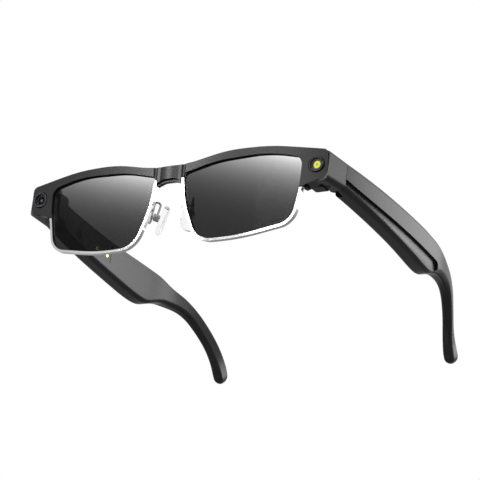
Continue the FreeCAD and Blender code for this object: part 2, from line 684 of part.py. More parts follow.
def temple_section(centre, width, height, pitch=0.0, yaw=0.0):
    """Closed section of a temple: chamfered top outer edge and rounded lower edges."""
    half_w = width / 2
    half_h = height / 2
    chamfer = min(TOP_CHAMFER[1], 0.16 * height)
    bevel = TOP_CHAMFER[0] * chamfer / TOP_CHAMFER[1]
    under = min(UNDER_ROUND, 0.32 * height, 0.44 * width)
    inner = min(INNER_ROUND, 0.30 * height, 0.40 * width)
    crown = min(0.7, 0.12 * height)
    corners = (
        (half_w, half_h, chamfer, "flat"),
        (half_w, -half_h, under, "round"),
        (-half_w, -half_h, inner, "round"),
        (-half_w, half_h, crown, "round"),
    )
    arcs = []
    for index, (x, z, cut, kind) in enumerate(corners):
        before = Vector(x, 0, z + cut) if index in (1, 3) else Vector(x - math.copysign(cut, x), 0, z)
        after = Vector(x - math.copysign(cut, x), 0, z) if index in (1, 3) else Vector(x, 0, z - cut)
        if index == 0:
            before = Vector(x - bevel, 0, z)
        if index == 2:
            before = Vector(x + cut, 0, z)
            after = Vector(x, 0, z + cut)
        if index == 3:
            before = Vector(x, 0, z - cut)
            after = Vector(x + cut, 0, z)
        if kind == "flat":
            arcs.append((before, after, Part.makeLine(before, after)))
        else:
            pole = Vector(x, 0, z)
            chord = (before + after) * 0.5
            middle = pole + (chord - pole) * (2 - math.sqrt(2))
            arcs.append((before, after, Part.Arc(before, middle, after).toShape()))
    edges = []
    for index, (before, after, edge) in enumerate(arcs):
        edges.append(edge)
        edges.append(Part.makeLine(after, arcs[(index + 1) % 4][0]))
    wire = Part.Wire(edges)
    wire.rotate(Vector(0, 0, 0), Vector(1, 0, 0), pitch)
    wire.rotate(Vector(0, 0, 0), Vector(0, 0, 1), yaw)
    wire.translate(Vector(*centre))
    return wire


def temple_stations():
    """Centre, width and height of the temple's section at each station, front to back."""
    stations = []
    for y, bottom, drop in UNDERSIDE:
        top = TEMPLE_TOP_Z - drop
        centre_x = outer_x(y) - TEMPLE_WIDTH / 2
        stations.append((centre_x, y, (top + bottom) / 2, TEMPLE_WIDTH, top - bottom))
    middle_x = TEMPLE_OUTER_X - TEMPLE_WIDTH / 2
    for inward, past, z, narrowing, height in EAR_BEND:
        stations.append((middle_x - inward, EAR_Y + past, z, TEMPLE_WIDTH - narrowing, height))
    return stations


def smooth_through(points):
    """Spline through points, with the running length between stations as its parameter."""
    stations = [Vector(*station[:3]) for station in temple_stations()]
    lengths = [0.0]
    for start, end in zip(stations, stations[1:]):
        lengths.append(lengths[-1] + (end - start).Length)
    curve = Part.BSplineCurve()
    curve.interpolate(Points=points, Parameters=lengths)
    return curve, lengths[-1]


def temple_blank():
    """The whole temple and ear tip, solid."""
    stations = temple_stations()
    path, length = smooth_through([Vector(*station[:3]) for station in stations])
    sizes, _ = smooth_through([Vector(station[3], station[4], 0) for station in stations])
    straight = length - TIP_ROUND
    stops = [(straight * step / TEMPLE_SECTIONS, 1.0) for step in range(TEMPLE_SECTIONS + 1)]
    for step in range(1, TIP_SECTIONS + 1):
        turn = math.radians(84.0) * step / TIP_SECTIONS
        stops.append((straight + TIP_ROUND * math.sin(turn), math.cos(turn)))
    sections = []
    for at, scale in stops:
        centre = path.value(at)
        size = sizes.value(at) * scale
        run = path.tangent(at)[0]
        turn = min(max((centre.y - BEND_START_Y) / BEND_EASE, 0.0), 1.0)
        pitch = turn * math.degrees(math.atan2(run.z, math.hypot(run.x, run.y)))
        yaw = -turn * math.degrees(math.atan2(run.x, run.y))
        sections.append(temple_section(centre, size.x, size.y, pitch, yaw))
    blank = Part.makeLoft(sections, True, False)
    return blank


# ---- Temples ---------------------------------------------------------------------------------
def side_prism(corners):
    """Prism along X of an outline seen from the side: y, z, corner radius."""
    wire = rounded_loop(corners)
    wire.rotate(Vector(0, 0, 0), Vector(0, 0, 1), 90)
    face = Part.Face(wire)
    face.translate(Vector(INSIDE_X, 0, 0))
    return face.extrude(Vector(OUTSIDE_X - INSIDE_X, 0, 0))


def inboard(inset):
    """Everything more than inset inward from the temple's outer face."""
    return Part.makeCylinder(BOW[2] - inset, 60, Vector(BOW[0], BOW[1], -40))


def layer(prism, inset, thick):
    """Slice of a side prism that follows the bow of the temple."""
    return prism.common(inboard(inset)).cut(inboard(inset + thick))


def flute_step_z(y):
    fade = math.exp(-(y - SEAM_Y) / FLUTE_STEP_FADE)
    return FLUTE_STEP_REAR_Z + (FLUTE_STEP_FRONT_Z - FLUTE_STEP_REAR_Z) * fade


def flute():
    """Long undercut hollow in the outer face, closed by a round end."""
    sections = []
    start = SEAM_Y - 1.0
    for step in range(FLUTE_SECTIONS + 1):
        y = start + (FLUTE_END_Y + 3.0 - start) * step / FLUTE_SECTIONS
        face = outer_x(y)
        top = flute_step_z(y)
        low = underside_z(min(y, EAR_Y - 13.0)) + FLUTE_RAIL
        deep = Vector(face - FLUTE_DEPTH, y, top)
        lip = Vector(face - FLUTE_LIP, y, low)
        middle = (deep + lip) * 0.5 - Vector(0.35, 0, 0)
        edges = [
            Part.makeLine(Vector(face + 3, y, top), deep),
            Part.Arc(deep, middle, lip).toShape(),
            Part.makeLine(lip, Vector(face + 3, y, low - 0.8)),
            Part.makeLine(Vector(face + 3, y, low - 0.8), Vector(face + 3, y, top)),
        ]
        sections.append(Part.Wire(edges))
    cutter = Part.makeLoft(sections, True, False)
    top = flute_step_z(FLUTE_END_Y)
    low = underside_z(FLUTE_END_Y) + FLUTE_RAIL
    middle = (top + low) / 2
    end = rod((top - low) / 2, Vector(INSIDE_X, FLUTE_END_Y, middle), Vector(OUTSIDE_X, FLUTE_END_Y, middle))
    return cutter.common(box(INSIDE_X, OUTSIDE_X, 0, FLUTE_END_Y, -30, 10).fuse(end))


def panel_outline(grow=0.0):
    front_low = underside_z(PANEL_FRONT_Y) + PANEL_LEDGE
    corners = [(PANEL_FRONT_Y, PANEL_TOP_Z, 0.8)]
    corners.extend((EAR_Y + past, z, radius) for past, z, radius in PANEL_REAR)
    corners.append((PANEL_FRONT_Y, front_low, 0.8))
    wire = rounded_loop(corners)
    if grow:
        wire = wire.makeOffset2D(grow)
    wire.rotate(Vector(0, 0, 0), Vector(0, 0, 1), 90)
    face = Part.Face(wire)
    face.translate(Vector(INSIDE_X, 0, 0))
    return face.extrude(Vector(OUTSIDE_X - INSIDE_X, 0, 0))


def cavity_floor_z(y):
    """Floor of the cavity over its long straight run."""
    front, rear = CAVITY_Y[0], CAVITY_Y[1] - CAVITY_RISE
    low, high = underside_z(rear) + FLOOR_WALL, underside_z(front) + FLOOR_WALL
    return high + (low - high) * (y - front) / (rear - front)


def cavity():
    """Room for the battery, board and speaker."""
    top = TEMPLE_TOP_Z - TOP_WALL
    front, rear = CAVITY_Y
    corners = (
        (front, top, 0.8),
        (rear, top, 1.5),
        (rear, underside_z(rear) + FLOOR_WALL, 1.5),
        (rear - 5.0, underside_z(rear - 5.0) + FLOOR_WALL, 2.0),
        (rear - CAVITY_RISE, cavity_floor_z(rear - CAVITY_RISE), 4.0),
        (front, cavity_floor_z(front), 0.8),
    )
    return side_prism(corners).common(inboard(SHELL_WALL))


def leaf_slot(clear, end_y):
    """Room for the hinge's moving leaf, back as far as end_y."""
    return box(MOVING_LEAF_X - clear, MOVING_LEAF_X + LEAF_THICK + clear, NOTCH_Y - 1, end_y,
               MID_BOTTOM_Z - clear, MID_TOP_Z + clear)


def temple_shell(blank):
    """One-piece outer shell and ear tip, open on the inner side for the panel."""
    shell = blank.cut(flute()).cut(cavity())
    shell = shell.cut(panel_outline(SEAT_CLEAR).common(inboard(TEMPLE_WIDTH - PANEL_THICK - SEAT_CLEAR)))
    shell = shell.cut(box(INSIDE_X, NOTCH_X, SEAM_Y - 2, NOTCH_Y, -20, 20))
    shell = shell.cut(leaf_slot(SEAT_CLEAR, CAVITY_Y[0] + 0.5))
    return shell.cut(button_pill(BUTTON_CLEAR, 0, TEMPLE_TOP_Z + 2))


def seat_x():
    """Plane of the charging seat."""
    return BOW_MID[0] - TEMPLE_WIDTH + SEAT_DEPTH


def temple_panel(blank, charging):
    """Inner cover panel, with the speaker's port and, on one side, the charging seat."""
    panel = blank.common(panel_outline()).common(inboard(TEMPLE_WIDTH - PANEL_THICK))
    panel = panel.cut(leaf_slot(4 * SEAT_CLEAR, HINGE_Y + MOVING_LEAF_LENGTH + 1.0))
    panel = panel.cut(speaker_rod(GRILLE_R - 0.4))
    panel = panel.cut(speaker_rod(GRILLE_R + SEAT_CLEAR).common(inboard(TEMPLE_WIDTH - GRILLE_THICK)))
    if charging:
        middle = (CONTACT_Y[0] + CONTACT_Y[1]) / 2
        panel = panel.cut(box(INSIDE_X, seat_x(), middle - SEAT_PAD[0] / 2, middle + SEAT_PAD[0] / 2,
                              CONTACT_Z - SEAT_PAD[1] / 2, CONTACT_Z + SEAT_PAD[1] / 2))
        for y in CONTACT_Y:
            start = Vector(INSIDE_X, y, CONTACT_Z)
            panel = panel.cut(rod(CONTACT_R + SEAT_CLEAR, start, Vector(OUTSIDE_X, y, CONTACT_Z)))
    return panel


def speaker_rod(radius):
    """Cylinder along X on the speaker's axis, from the inner side into the temple."""
    end = Vector(outer_x(SPEAKER_Y) - SHELL_WALL, SPEAKER_Y, SPEAKER_Z)
    return rod(radius, Vector(INSIDE_X, SPEAKER_Y, SPEAKER_Z), end)


def speaker():
    inner = outer_x(SPEAKER_Y) - TEMPLE_WIDTH + PANEL_THICK + PART_GAP + 0.2
    start = Vector(inner, SPEAKER_Y, SPEAKER_Z)
    body = rod(SPEAKER_R, start, start + Vector(SPEAKER_DEPTH, 0, 0))
    return body.cut(rod(SPEAKER_R - 0.8, start, start + Vector(0.4, 0, 0)))


def speaker_grille(blank):
    grille = speaker_rod(GRILLE_R).common(blank).common(inboard(TEMPLE_WIDTH - GRILLE_THICK))
    holes = []
    for ring in range(GRILLE_RINGS + 1):
        for spoke in range(max(1, 6 * ring)):
            turn = 2 * math.pi * spoke / max(1, 6 * ring)
            y = SPEAKER_Y + GRILLE_PITCH * ring * math.cos(turn)
            z = SPEAKER_Z + GRILLE_PITCH * ring * math.sin(turn)
            holes.append(rod(GRILLE_HOLE_R, Vector(INSIDE_X, y, z), Vector(OUTSIDE_X, y, z)))
    return grille.cut(holes[0].multiFuse(holes[1:]))


def battery():
    prism = box(INSIDE_X, OUTSIDE_X, BATTERY_Y[0], BATTERY_Y[1], BATTERY_Z[0], BATTERY_Z[1])
    return layer(prism, SHELL_WALL + PART_GAP, BATTERY_THICK)


def temple_board(end_y):
    bottom = cavity_floor_z(BOARD_Y[0]) + BOARD_LIFT
    prism = box(INSIDE_X, OUTSIDE_X, BOARD_Y[0], end_y, bottom, BOARD_TOP_Z)
    return layer(prism, BOARD_INSET, TEMPLE_BOARD_THICK)


def charging_contacts():
    """Two gold pins, level with the seat, that reach in to the board."""
    pins = []
    for y in CONTACT_Y:
        pin = rod(CONTACT_R, Vector(seat_x(), y, CONTACT_Z), Vector(OUTSIDE_X, y, CONTACT_Z))
        inner = BOARD_INSET + TEMPLE_BOARD_THICK + SEAT_CLEAR
        pins.append(pin.common(inboard(inner)))
    return Part.makeCompound(pins)


def charging_magnet():
    y = (CONTACT_Y[0] + CONTACT_Y[1]) / 2
    inner = outer_x(y) - TEMPLE_WIDTH + PANEL_THICK + SEAT_CLEAR + 0.1
    start = Vector(inner, y, CONTACT_Z)
    return rod(MAGNET_R, start, start + Vector(MAGNET_THICK, 0, 0))


def button_pill(grow, z0, z1):
    """Round-ended bar along Y at the button's place."""
    x = outer_x(BUTTON_Y) - BUTTON_INSET
    half = BUTTON_WIDTH / 2 + grow
    reach = (BUTTON_LENGTH - BUTTON_WIDTH) / 2
    pill = box(x - half, x + half, BUTTON_Y - reach, BUTTON_Y + reach, z0, z1)
    for end in (-reach, reach):
        pill = pill.fuse(rod(half, Vector(x, BUTTON_Y + end, z0), Vector(x, BUTTON_Y + end, z1)))
    return pill.removeSplitter()


def button():
    wall = TEMPLE_TOP_Z - TOP_WALL
    cap = button_pill(0, wall - SEAT_CLEAR - 0.1, TEMPLE_TOP_Z + BUTTON_PROUD)
    rim = [edge for edge in cap.Edges if edge.BoundBox.ZMin > TEMPLE_TOP_Z + BUTTON_PROUD - 1e-3]
    cap = cap.makeFillet(0.35, rim)
    flange = button_pill(BUTTON_FLANGE, wall - SEAT_CLEAR - BUTTON_FLANGE, wall - SEAT_CLEAR)
    return cap.fuse(flange)


def button_switch():
    x = outer_x(BUTTON_Y) - BUTTON_INSET
    wide, deep, tall = SWITCH_SIZE
    z = BOARD_TOP_Z + SEAT_CLEAR
    body = box(x - deep / 2, x + deep / 2, BUTTON_Y - wide / 2, BUTTON_Y + wide / 2, z, z + tall - 0.3)
    return body.fuse(rod(0.6, Vector(x, BUTTON_Y, z), Vector(x, BUTTON_Y, z + tall)))


# ---- Nose pads -------------------------------------------------------------------------------
def pad_placed(shape):
    """From the pad's own frame (X to the cheek, Y back, Z up) to its place on the left."""
    shape = shape.rotated(Vector(0, 0, 0), Vector(0, 1, 0), -PAD_RAKE)
    shape = shape.rotated(Vector(0, 0, 0), Vector(0, 0, 1), -PAD_SPLAY)
    return shape.translated(Vector(*PAD_CENTRE))


def nose_pad():
    """Soft pad with a stem that rocks on the screw in its box."""
    top = PAD_HEIGHT / 2 - 0.6
    low = -PAD_HEIGHT / 2
    narrow = PAD_WIDTH / 2 - 0.6
    broad = PAD_WIDTH / 2
    corners = ((-narrow, top, narrow - 0.1), (narrow, top, narrow - 0.1),
               (broad, low, broad - 0.2), (-broad, low, broad - 0.2))
    face = Part.Face(rounded_loop(corners))
    face.rotate(Vector(0, 0, 0), Vector(0, 0, 1), 90)
    face.translate(Vector(-PAD_THICK / 2, 0, 0))
    pad = face.extrude(Vector(PAD_THICK, 0, 0))
    pad = pad.makeFillet(PAD_ROUND, pad.Edges)
    stem = box(0, BOX_OFFSET + STEM_END, -STEM_HALF[0], STEM_HALF[0], -STEM_HALF[1], STEM_HALF[1])
    hole = rod(PAD_SCREW_R + PIN_FIT, Vector(BOX_OFFSET, -5, 0), Vector(BOX_OFFSET, 5, 0))
    return pad_placed(pad.fuse(stem).cut(hole))


def pad_box():
    """Small metal cup, open towards the pad."""
    half = BOX_SIZE / 2
    room = half - BOX_WALL
    cup = box(BOX_OFFSET - half, BOX_OFFSET + half, -half, half, -half, half)
    cup = cup.makeFillet(0.35, cup.Edges)
    cup = cup.cut(box(BOX_OFFSET - half - 1, BOX_OFFSET + room, -room, room, -room, room))
    return pad_placed(cup.cut(pad_screw_rod(0.02)))


def pad_screw_rod(clear=0.0):
    half = BOX_SIZE / 2
    return rod(PAD_SCREW_R + clear, Vector(BOX_OFFSET, -half - 0.1, 0), Vector(BOX_OFFSET, half, 0))


def pad_screw():
    half = BOX_SIZE / 2
    head = rod(PAD_SCREW_HEAD_R, Vector(BOX_OFFSET, -half - 0.4, 0), Vector(BOX_OFFSET, -half - 0.01, 0))
    return pad_placed(pad_screw_rod().fuse(head))


def bent_rod(points, radius, bend):
    """Round wire along straight runs joined by tangent arcs."""
    corners = [Vector(*point) for point in points]
    edges = []
    start = corners[0]
    for index in range(1, len(corners) - 1):
        corner = corners[index]
        before = (corners[index - 1] - corner).normalize()
        after = (corners[index + 1] - corner).normalize()
        half_turn = (math.pi - before.getAngle(after)) / 2
        reach = bend * math.tan(half_turn)
        inward = (before + after).normalize()
        middle = corner + inward * (bend / math.cos(half_turn) - bend)
        edges.append(Part.makeLine(start, corner + before * reach))
        edges.append(Part.Arc(corner + before * reach, middle, corner + after * reach).toShape())
        start = corner + after * reach
    edges.append(Part.makeLine(start, corners[-1]))
    path = Part.Wire(edges)
    circle = Part.Wire(Part.makeCircle(radius, corners[0], corners[1] - corners[0]))
    return path.makePipeShell([circle], True, False)


def nose_arm(rim, cup):
    """Silver wire from the back of the rim, over a loop and down into the pad box."""
    top = pad_placed(Part.Vertex(BOX_OFFSET, 0, BOX_SIZE / 2 - 0.1)).Point
    arm = bent_rod((ARM_FOOT,) + ARM_LOOP + (tuple(top),), ARM_R, ARM_BEND)
    arm = arm.cut(rim).cut(cup)
    return max(arm.Solids, key=lambda solid: solid.Volume)


# ---- Assembly --------------------------------------------------------------------------------
def both(name, shape):
    return {name + "_left": shape, name + "_right": mirrored(shape)}


def group(shape):
    """One node of separate solids, the same on both sides."""
    return Part.makeCompound(shape.Solids + mirrored(shape).Solids)


def assembly():
    nodes = {}
    front = front_frame()
    rim = rim_wire()
    blank = temple_blank()
    cup = pad_box()

    nodes["front_frame"] = front
    nodes["bridge_bar"] = bridge_bar(front)
    nodes.update(both("lens", lens()))
    nodes.update(both("rim_wire", rim))
    nodes["rim_screws"] = group(rim_screw())
    nodes.update(both("endpiece_cover", endpiece_cover()))
    nodes["cover_screws"] = group(cover_screw())

    nodes["light_bezel"] = bezel()
    nodes["light_window"] = window()
    nodes["light_reflector"] = light_reflector()
    nodes["light_emitter"] = light_emitter()
    nodes["light_barrel"] = barrel()
    nodes["light_board"] = eye_board()
    nodes["camera_bezel"] = mirrored(bezel())
    nodes["camera_window"] = mirrored(window())
    nodes["camera_barrel"] = mirrored(barrel())
    nodes["camera_glass"] = mirrored(camera_glass())
    nodes["camera_board"] = mirrored(eye_board())

    nodes.update(both("hinge_front", hinge_front()))
    nodes.update(both("hinge_screw", hinge_pin()))
    nodes.update(both("hinge_temple", hinge_temple()))
    leaf_screws = Part.makeCompound([leaf_screw(z) for z in LEAF_SCREW_Z])
    nodes["hinge_leaf_screws"] = group(leaf_screws)

    nodes.update(both("nose_pad", nose_pad()))
    nodes.update(both("pad_box", cup))
    nodes["pad_screws"] = group(pad_screw())
    nodes.update(both("nose_arm", nose_arm(rim, cup)))

    nodes.update(both("temple_shell", temple_shell(blank)))
    nodes["temple_panel_left"] = temple_panel(blank, False)
    nodes["temple_panel_right"] = mirrored(temple_panel(blank, True))
    nodes.update(both("speaker", speaker()))
    nodes.update(both("speaker_grille", speaker_grille(blank)))
    nodes.update(both("battery", battery()))
    nodes["main_board"] = mirrored(temple_board(BOARD_Y[1]))
    nodes["light_driver"] = temple_board(DRIVER_END_Y)
    nodes["charging_contacts"] = mirrored(charging_contacts())
    nodes["charging_magnet"] = mirrored(charging_magnet())
    nodes["power_button"] = button()
    nodes["capture_button"] = mirrored(button())
    nodes.update(both("button_switch", button_switch()))
    return nodes


def meshed_box(shapes):
    """Tight box of the shapes; lofted faces report a loose one."""
    tight = FreeCAD.BoundBox()
    for shape in shapes:
        for point in shape.tessellate(0.05)[0]:
            tight.add(point)
    return tight


def main():
    os.makedirs("parts", exist_ok=True)
    nodes = assembly()
    whole = meshed_box(nodes.values())
    to_rest = Vector(-whole.Center.x, -whole.Center.y, -whole.ZMin)
    for name, shape in nodes.items():
        shape.translated(to_rest).exportStep("parts/" + name + ".step")


if __name__ == "__main__":
    main()
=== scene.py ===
"""Finishes, fine fittings, light and view for a pair of smart glasses with folding temples."""

import math

import bmesh
import bpy
from bpy.props import FloatProperty, FloatVectorProperty, PointerProperty
from mathutils import Matrix, Vector


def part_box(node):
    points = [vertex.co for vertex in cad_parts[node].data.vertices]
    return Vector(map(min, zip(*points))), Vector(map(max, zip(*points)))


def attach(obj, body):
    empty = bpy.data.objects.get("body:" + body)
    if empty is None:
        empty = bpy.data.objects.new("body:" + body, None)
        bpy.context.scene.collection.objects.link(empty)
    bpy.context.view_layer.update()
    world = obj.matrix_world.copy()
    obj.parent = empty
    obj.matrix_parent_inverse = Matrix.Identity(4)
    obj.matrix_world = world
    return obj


bl_info = {
    "name": "Smart Glasses Finish",
    "version": (1, 0, 0),
    "blender": (4, 5, 0),
    "location": "View3D > Sidebar > Glasses",
    "description": "Dresses a pair of camera glasses with finishes, fittings, light and a view",
    "category": "Object",
}

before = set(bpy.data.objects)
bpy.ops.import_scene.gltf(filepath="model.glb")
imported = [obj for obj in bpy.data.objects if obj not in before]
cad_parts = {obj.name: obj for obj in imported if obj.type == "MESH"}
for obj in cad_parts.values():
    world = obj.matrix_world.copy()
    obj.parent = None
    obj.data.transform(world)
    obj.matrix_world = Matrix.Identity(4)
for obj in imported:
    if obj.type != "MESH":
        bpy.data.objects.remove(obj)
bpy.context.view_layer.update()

MM = 0.001
SIDES = ("left", "right")

# Camera and light look ahead and a little down.
EYE_TILT = math.radians(4.5)
EYE_AXIS = Vector((0, -math.cos(EYE_TILT), -math.sin(EYE_TILT)))

# The outer ends of the rim wires, which screw to the endpieces, are painted near black as shade
# under the endpieces.
LUG_LENGTH = 1.4 * MM
LUG_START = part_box("rim_wire_left")[1].x - LUG_LENGTH

TURNING_PITCH = 0.11 * MM
CLOTH_PITCH = 0.18 * MM
TAPE_WIDTH = 6.0 * MM
TRACKS_PER_METRE = 900.0

# Domes over the light's emitter: their radius, and the radius and count of each ring.
DOT_RADIUS = 0.085 * MM
DOT_RINGS = ((0.0, 1), (0.24 * MM, 6), (0.44 * MM, 12))

SHARP_ANGLE = math.radians(32)
FLOOR_RADIUS = 3.0
FLOOR_GAP = 0.2 * MM
DOME_RADIUS = 5.0
SENSOR_WIDTH = 36.0
VIEW_END = 50.0

# Numbers of a Mix node's sockets for colours.
MIX_FACTOR, MIX_A, MIX_B, MIX_RESULT = 0, 6, 7, 2


def middle(node):
    low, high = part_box(node)
    return (low + high) / 2


def scaled(color, share):
    return tuple(c * share for c in color)


# ---- Shader maths ----------------------------------------------------------------------------
class Wire:
    """A socket that can be used in Python expressions."""

    def __init__(self, sheet, socket):
        self.sheet = sheet
        self.socket = socket

    def __add__(self, other):
        return self.sheet.math("ADD", self, other)

    def __sub__(self, other):
        return self.sheet.math("SUBTRACT", self, other)

    def __rsub__(self, other):
        return self.sheet.math("SUBTRACT", other, self)

    def __mul__(self, other):
        return self.sheet.math("MULTIPLY", self, other)

    def __truediv__(self, other):
        return self.sheet.math("DIVIDE", self, other)

    __radd__ = __add__
    __rmul__ = __mul__


class Sheet:
    """Node tree of a material or a world, with one method that adds any node."""

    def __init__(self, name, library="materials", place="Object"):
        self.owner = getattr(bpy.data, library).new(name)
        self.owner.use_nodes = True
        self.tree = self.owner.node_tree
        self.tree.nodes.clear()
        self.place = self.node("ShaderNodeTexCoord", out=place)

    def node(self, kind, settings=(), inputs=(), out=0):
        """Adds a node: its settings or ramp stops first, then its values and links."""
        made = self.tree.nodes.new(kind)
        for name, value in dict(settings).items():
            if name == "stops":
                for stop, (position, grey) in zip(made.color_ramp.elements, value):
                    stop.position = position
                    stop.color = (grey, grey, grey, 1.0)
            else:
                setattr(made, name, value)
        for name, value in dict(inputs).items():
            socket = made.inputs[name]
            if isinstance(value, Wire):
                self.tree.links.new(value.socket, socket)
            elif socket.type == "RGBA":
                socket.default_value = (*value, 1.0)
            else:
                socket.default_value = value
        return Wire(self, made.outputs[out]) if len(made.outputs) else made

    def math(self, operation, a, b=0.0, clamp=False):
        settings = {"operation": operation, "use_clamp": clamp}
        return self.node("ShaderNodeMath", settings, {0: a, 1: b})

    def length(self, a, b):
        return self.math("SQRT", a * a + b * b)

    def part(self, axis):
        return self.node("ShaderNodeSeparateXYZ", (), {0: self.place}, axis)

    def offsets(self, node):
        """Distances in X and in Z from a node's middle."""
        centre = middle(node)
        return self.part("X") - centre.x, self.part("Z") - centre.z

    def stretched(self, scale):
        inputs = {"Vector": self.place, "Scale": scale}
        return self.node("ShaderNodeMapping", (), inputs)

    def noise(self, scale, detail=2.0, along=None):
        inputs = {"Vector": along or self.place, "Scale": scale, "Detail": detail}
        return self.node("ShaderNodeTexNoise", (), inputs, "Fac")

    def ramp(self, value, low, high, start=0.0, end=1.0, ease="SMOOTHSTEP"):
        inputs = {
            "Value": value, "From Min": low, "From Max": high, "To Min": start, "To Max": end,
        }
        return self.node("ShaderNodeMapRange", {"interpolation_type": ease}, inputs)

    def blend(self, factor, a, b):
        inputs = {MIX_FACTOR: factor, MIX_A: a, MIX_B: b}
        return self.node("ShaderNodeMix", {"data_type": "RGBA"}, inputs, MIX_RESULT)

    def bump(self, height, strength, distance):
        inputs = {"Height": height, "Strength": strength, "Distance": distance}
        return self.node("ShaderNodeBump", (), inputs)

    def surface(self, shader, kind="ShaderNodeOutputMaterial"):
        """Puts a shader on the output and gives back the material or world."""
        self.node(kind, (), {"Surface": shader})
        return self.owner

    def finish(self, **sockets):
        named = {name.replace("_", " "): value for name, value in sockets.items()}
        return self.surface(self.node("ShaderNodeBsdfPrincipled", (), named))


# ---- Finishes --------------------------------------------------------------------------------
def moulded_black(finish, name="moulded_black", rough=None, grain=1.0):
    """Satin moulding: fine spark grain, faint cloudiness and smears."""
    sheet = Sheet(name)
    rough = finish.shell_roughness if rough is None else rough
    cloud = sheet.noise(38.0, 4.0)
    grit = sheet.noise(5200.0, 1.5)
    speck = sheet.noise(1500.0, 2.0)
    smear = sheet.noise(1.0, 3.0, sheet.stretched((60.0, 25.0, 220.0)))
    shade = sheet.ramp(cloud * 0.6 + speck * 0.4, 0.32, 0.68)
    color = tuple(finish.shell_color)
    return sheet.finish(
        Base_Color=sheet.blend(shade, color, scaled(color, 1.45)),
        Roughness=sheet.ramp(smear * 0.6 + grit * 0.4, 0.3, 0.7, rough - 0.02, rough + 0.03),
        Specular_IOR_Level=0.42,
        Normal=sheet.bump(grit * 0.7 + speck * 0.3, 0.12 * grain, 0.03 * MM),
    )


def tinted_lens_with_painted_light(finish, node):
    """Pale at the brow, almost opaque from the middle down: the dark lower half is the lens's tint,
    the pale top is painted reflection of a light above, and the clearing towards the wearer's left
    is painted light from that side.
    """
    sheet = Sheet(node + "_tint")
    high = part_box(node)[1]
    # Painted reflection: the lens clears towards the brow, where a light above would reflect.
    down = (high.z - 4 * MM) - sheet.part("Z")
    # Painted light: both lenses also clear towards the wearer's left, the side the light comes
    # from.
    across = (high.x - 3 * MM) - sheet.part("X")
    wave = (sheet.noise(22.0, 2.0) - 0.5) * (2 * MM)
    depth = (down + across * finish.lens_slant + wave) / finish.lens_fade
    fade = sheet.math("EXPONENT", depth * -1.0)
    gain = finish.lens_clear_high - finish.lens_clear_low
    # Light passes two faces of a lens, so each face takes the square root.
    through = sheet.math("SQRT", fade * gain + finish.lens_clear_low, clamp=True)
    dust = sheet.noise(2600.0, 1.0)
    deep = tuple(finish.lens_color)
    return sheet.finish(
        Base_Color=sheet.blend(sheet.ramp(dust, 0.3, 0.7), deep, scaled(deep, 1.2)),
        Alpha=1.0 - through,
        Roughness=sheet.ramp(dust, 0.4, 0.75, 0.03, 0.06),
        Specular_IOR_Level=0.02,
    )


def polished_silver(finish):
    """Plated wire with hairline draw marks; the lugs under the endpieces are painted near black as
    shade.
    """
    sheet = Sheet("polished_silver")
    aside = sheet.math("ABSOLUTE", sheet.part("X"))
    painted_lug_shade = sheet.ramp(aside, LUG_START, LUG_START + 0.1 * MM)
    hair = sheet.noise(1.0, 2.0, sheet.stretched((900.0, 6000.0, 900.0)))
    cloud = sheet.noise(120.0, 3.0)
    color = tuple(finish.silver_color)
    plate = sheet.blend(cloud, color, scaled(color, 0.9))
    return sheet.finish(
        # Painted shade: the lugs under the endpieces turn near black.
        Base_Color=sheet.blend(painted_lug_shade, plate, (0.03, 0.03, 0.03)),
        Metallic=1.0,
        Roughness=sheet.ramp(hair * 0.5 + cloud * 0.5, 0.3, 0.7, 0.08, 0.16),
        Normal=sheet.bump(hair, 0.08, 0.02 * MM),
    )


def chromed_wire():
    """Chrome of the nose arms and pad boxes, with drawn streaks in its bumps and dark and pale
    stripes in its colour, which are painted reflection.
    """
    sheet = Sheet("chromed_wire")
    streak = sheet.noise(1.0, 3.0, sheet.stretched((2600.0, 2600.0, 380.0)))
    spot = sheet.noise(700.0, 3.0)
    # Painted reflection: the streaks also turn the chrome dark and pale in stripes.
    shade = sheet.ramp(streak, 0.35, 0.65)
    return sheet.finish(
        Base_Color=sheet.blend(shade, (0.2, 0.2, 0.205), (0.72, 0.72, 0.73)),
        Metallic=1.0,
        Roughness=sheet.ramp(spot, 0.3, 0.7, 0.08, 0.16),
        Normal=sheet.bump(streak, 0.15, 0.02 * MM),
    )


def dark_steel():
    """Blackened steel with brushing along its length and worn high spots."""
    sheet = Sheet("dark_steel")
    brush = sheet.noise(1.0, 3.0, sheet.stretched((3500.0, 3500.0, 260.0)))
    wear = sheet.ramp(sheet.noise(900.0, 4.0), 0.56, 0.72)
    return sheet.finish(
        Base_Color=sheet.blend(wear, (0.055, 0.056, 0.06), (0.16, 0.16, 0.165)),
        Metallic=0.85,
        Roughness=sheet.ramp(brush, 0.3, 0.7, 0.24, 0.42),
        Normal=sheet.bump(brush, 0.2, 0.02 * MM),
    )


def turned_black(eye):
    """Gloss black ring with fine turning marks round the middle of an eye."""
    sheet = Sheet(eye + "_ring")
    reach = sheet.length(*sheet.offsets(eye + "_bezel"))
    groove = sheet.math("SINE", reach * (2 * math.pi / TURNING_PITCH))
    grit = sheet.noise(3800.0, 2.0)
    return sheet.finish(
        Base_Color=sheet.blend(grit, (0.003, 0.003, 0.004), (0.007, 0.007, 0.008)),
        Roughness=sheet.ramp(groove + grit, -1.0, 2.0, 0.14, 0.24),
        Specular_IOR_Level=0.4,
        Normal=sheet.bump(groove, 0.05, 0.01 * MM),
    )


def eye_window(eye, tint, cover):
    """Glossy window of the camera or the light; cover is its least opacity."""
    sheet = Sheet(eye + "_window_glass")
    dust = sheet.noise(4200.0, 2.0)
    return sheet.finish(
        Base_Color=sheet.blend(dust, tint, scaled(tint, 1.3)),
        Alpha=sheet.ramp(dust, 0.3, 0.8, cover, cover + 0.05),
        Roughness=sheet.ramp(dust, 0.4, 0.8, 0.01, 0.05),
        Specular_IOR_Level=0.6,
        Coat_Weight=0.6,
        Coat_Roughness=0.01,
    )


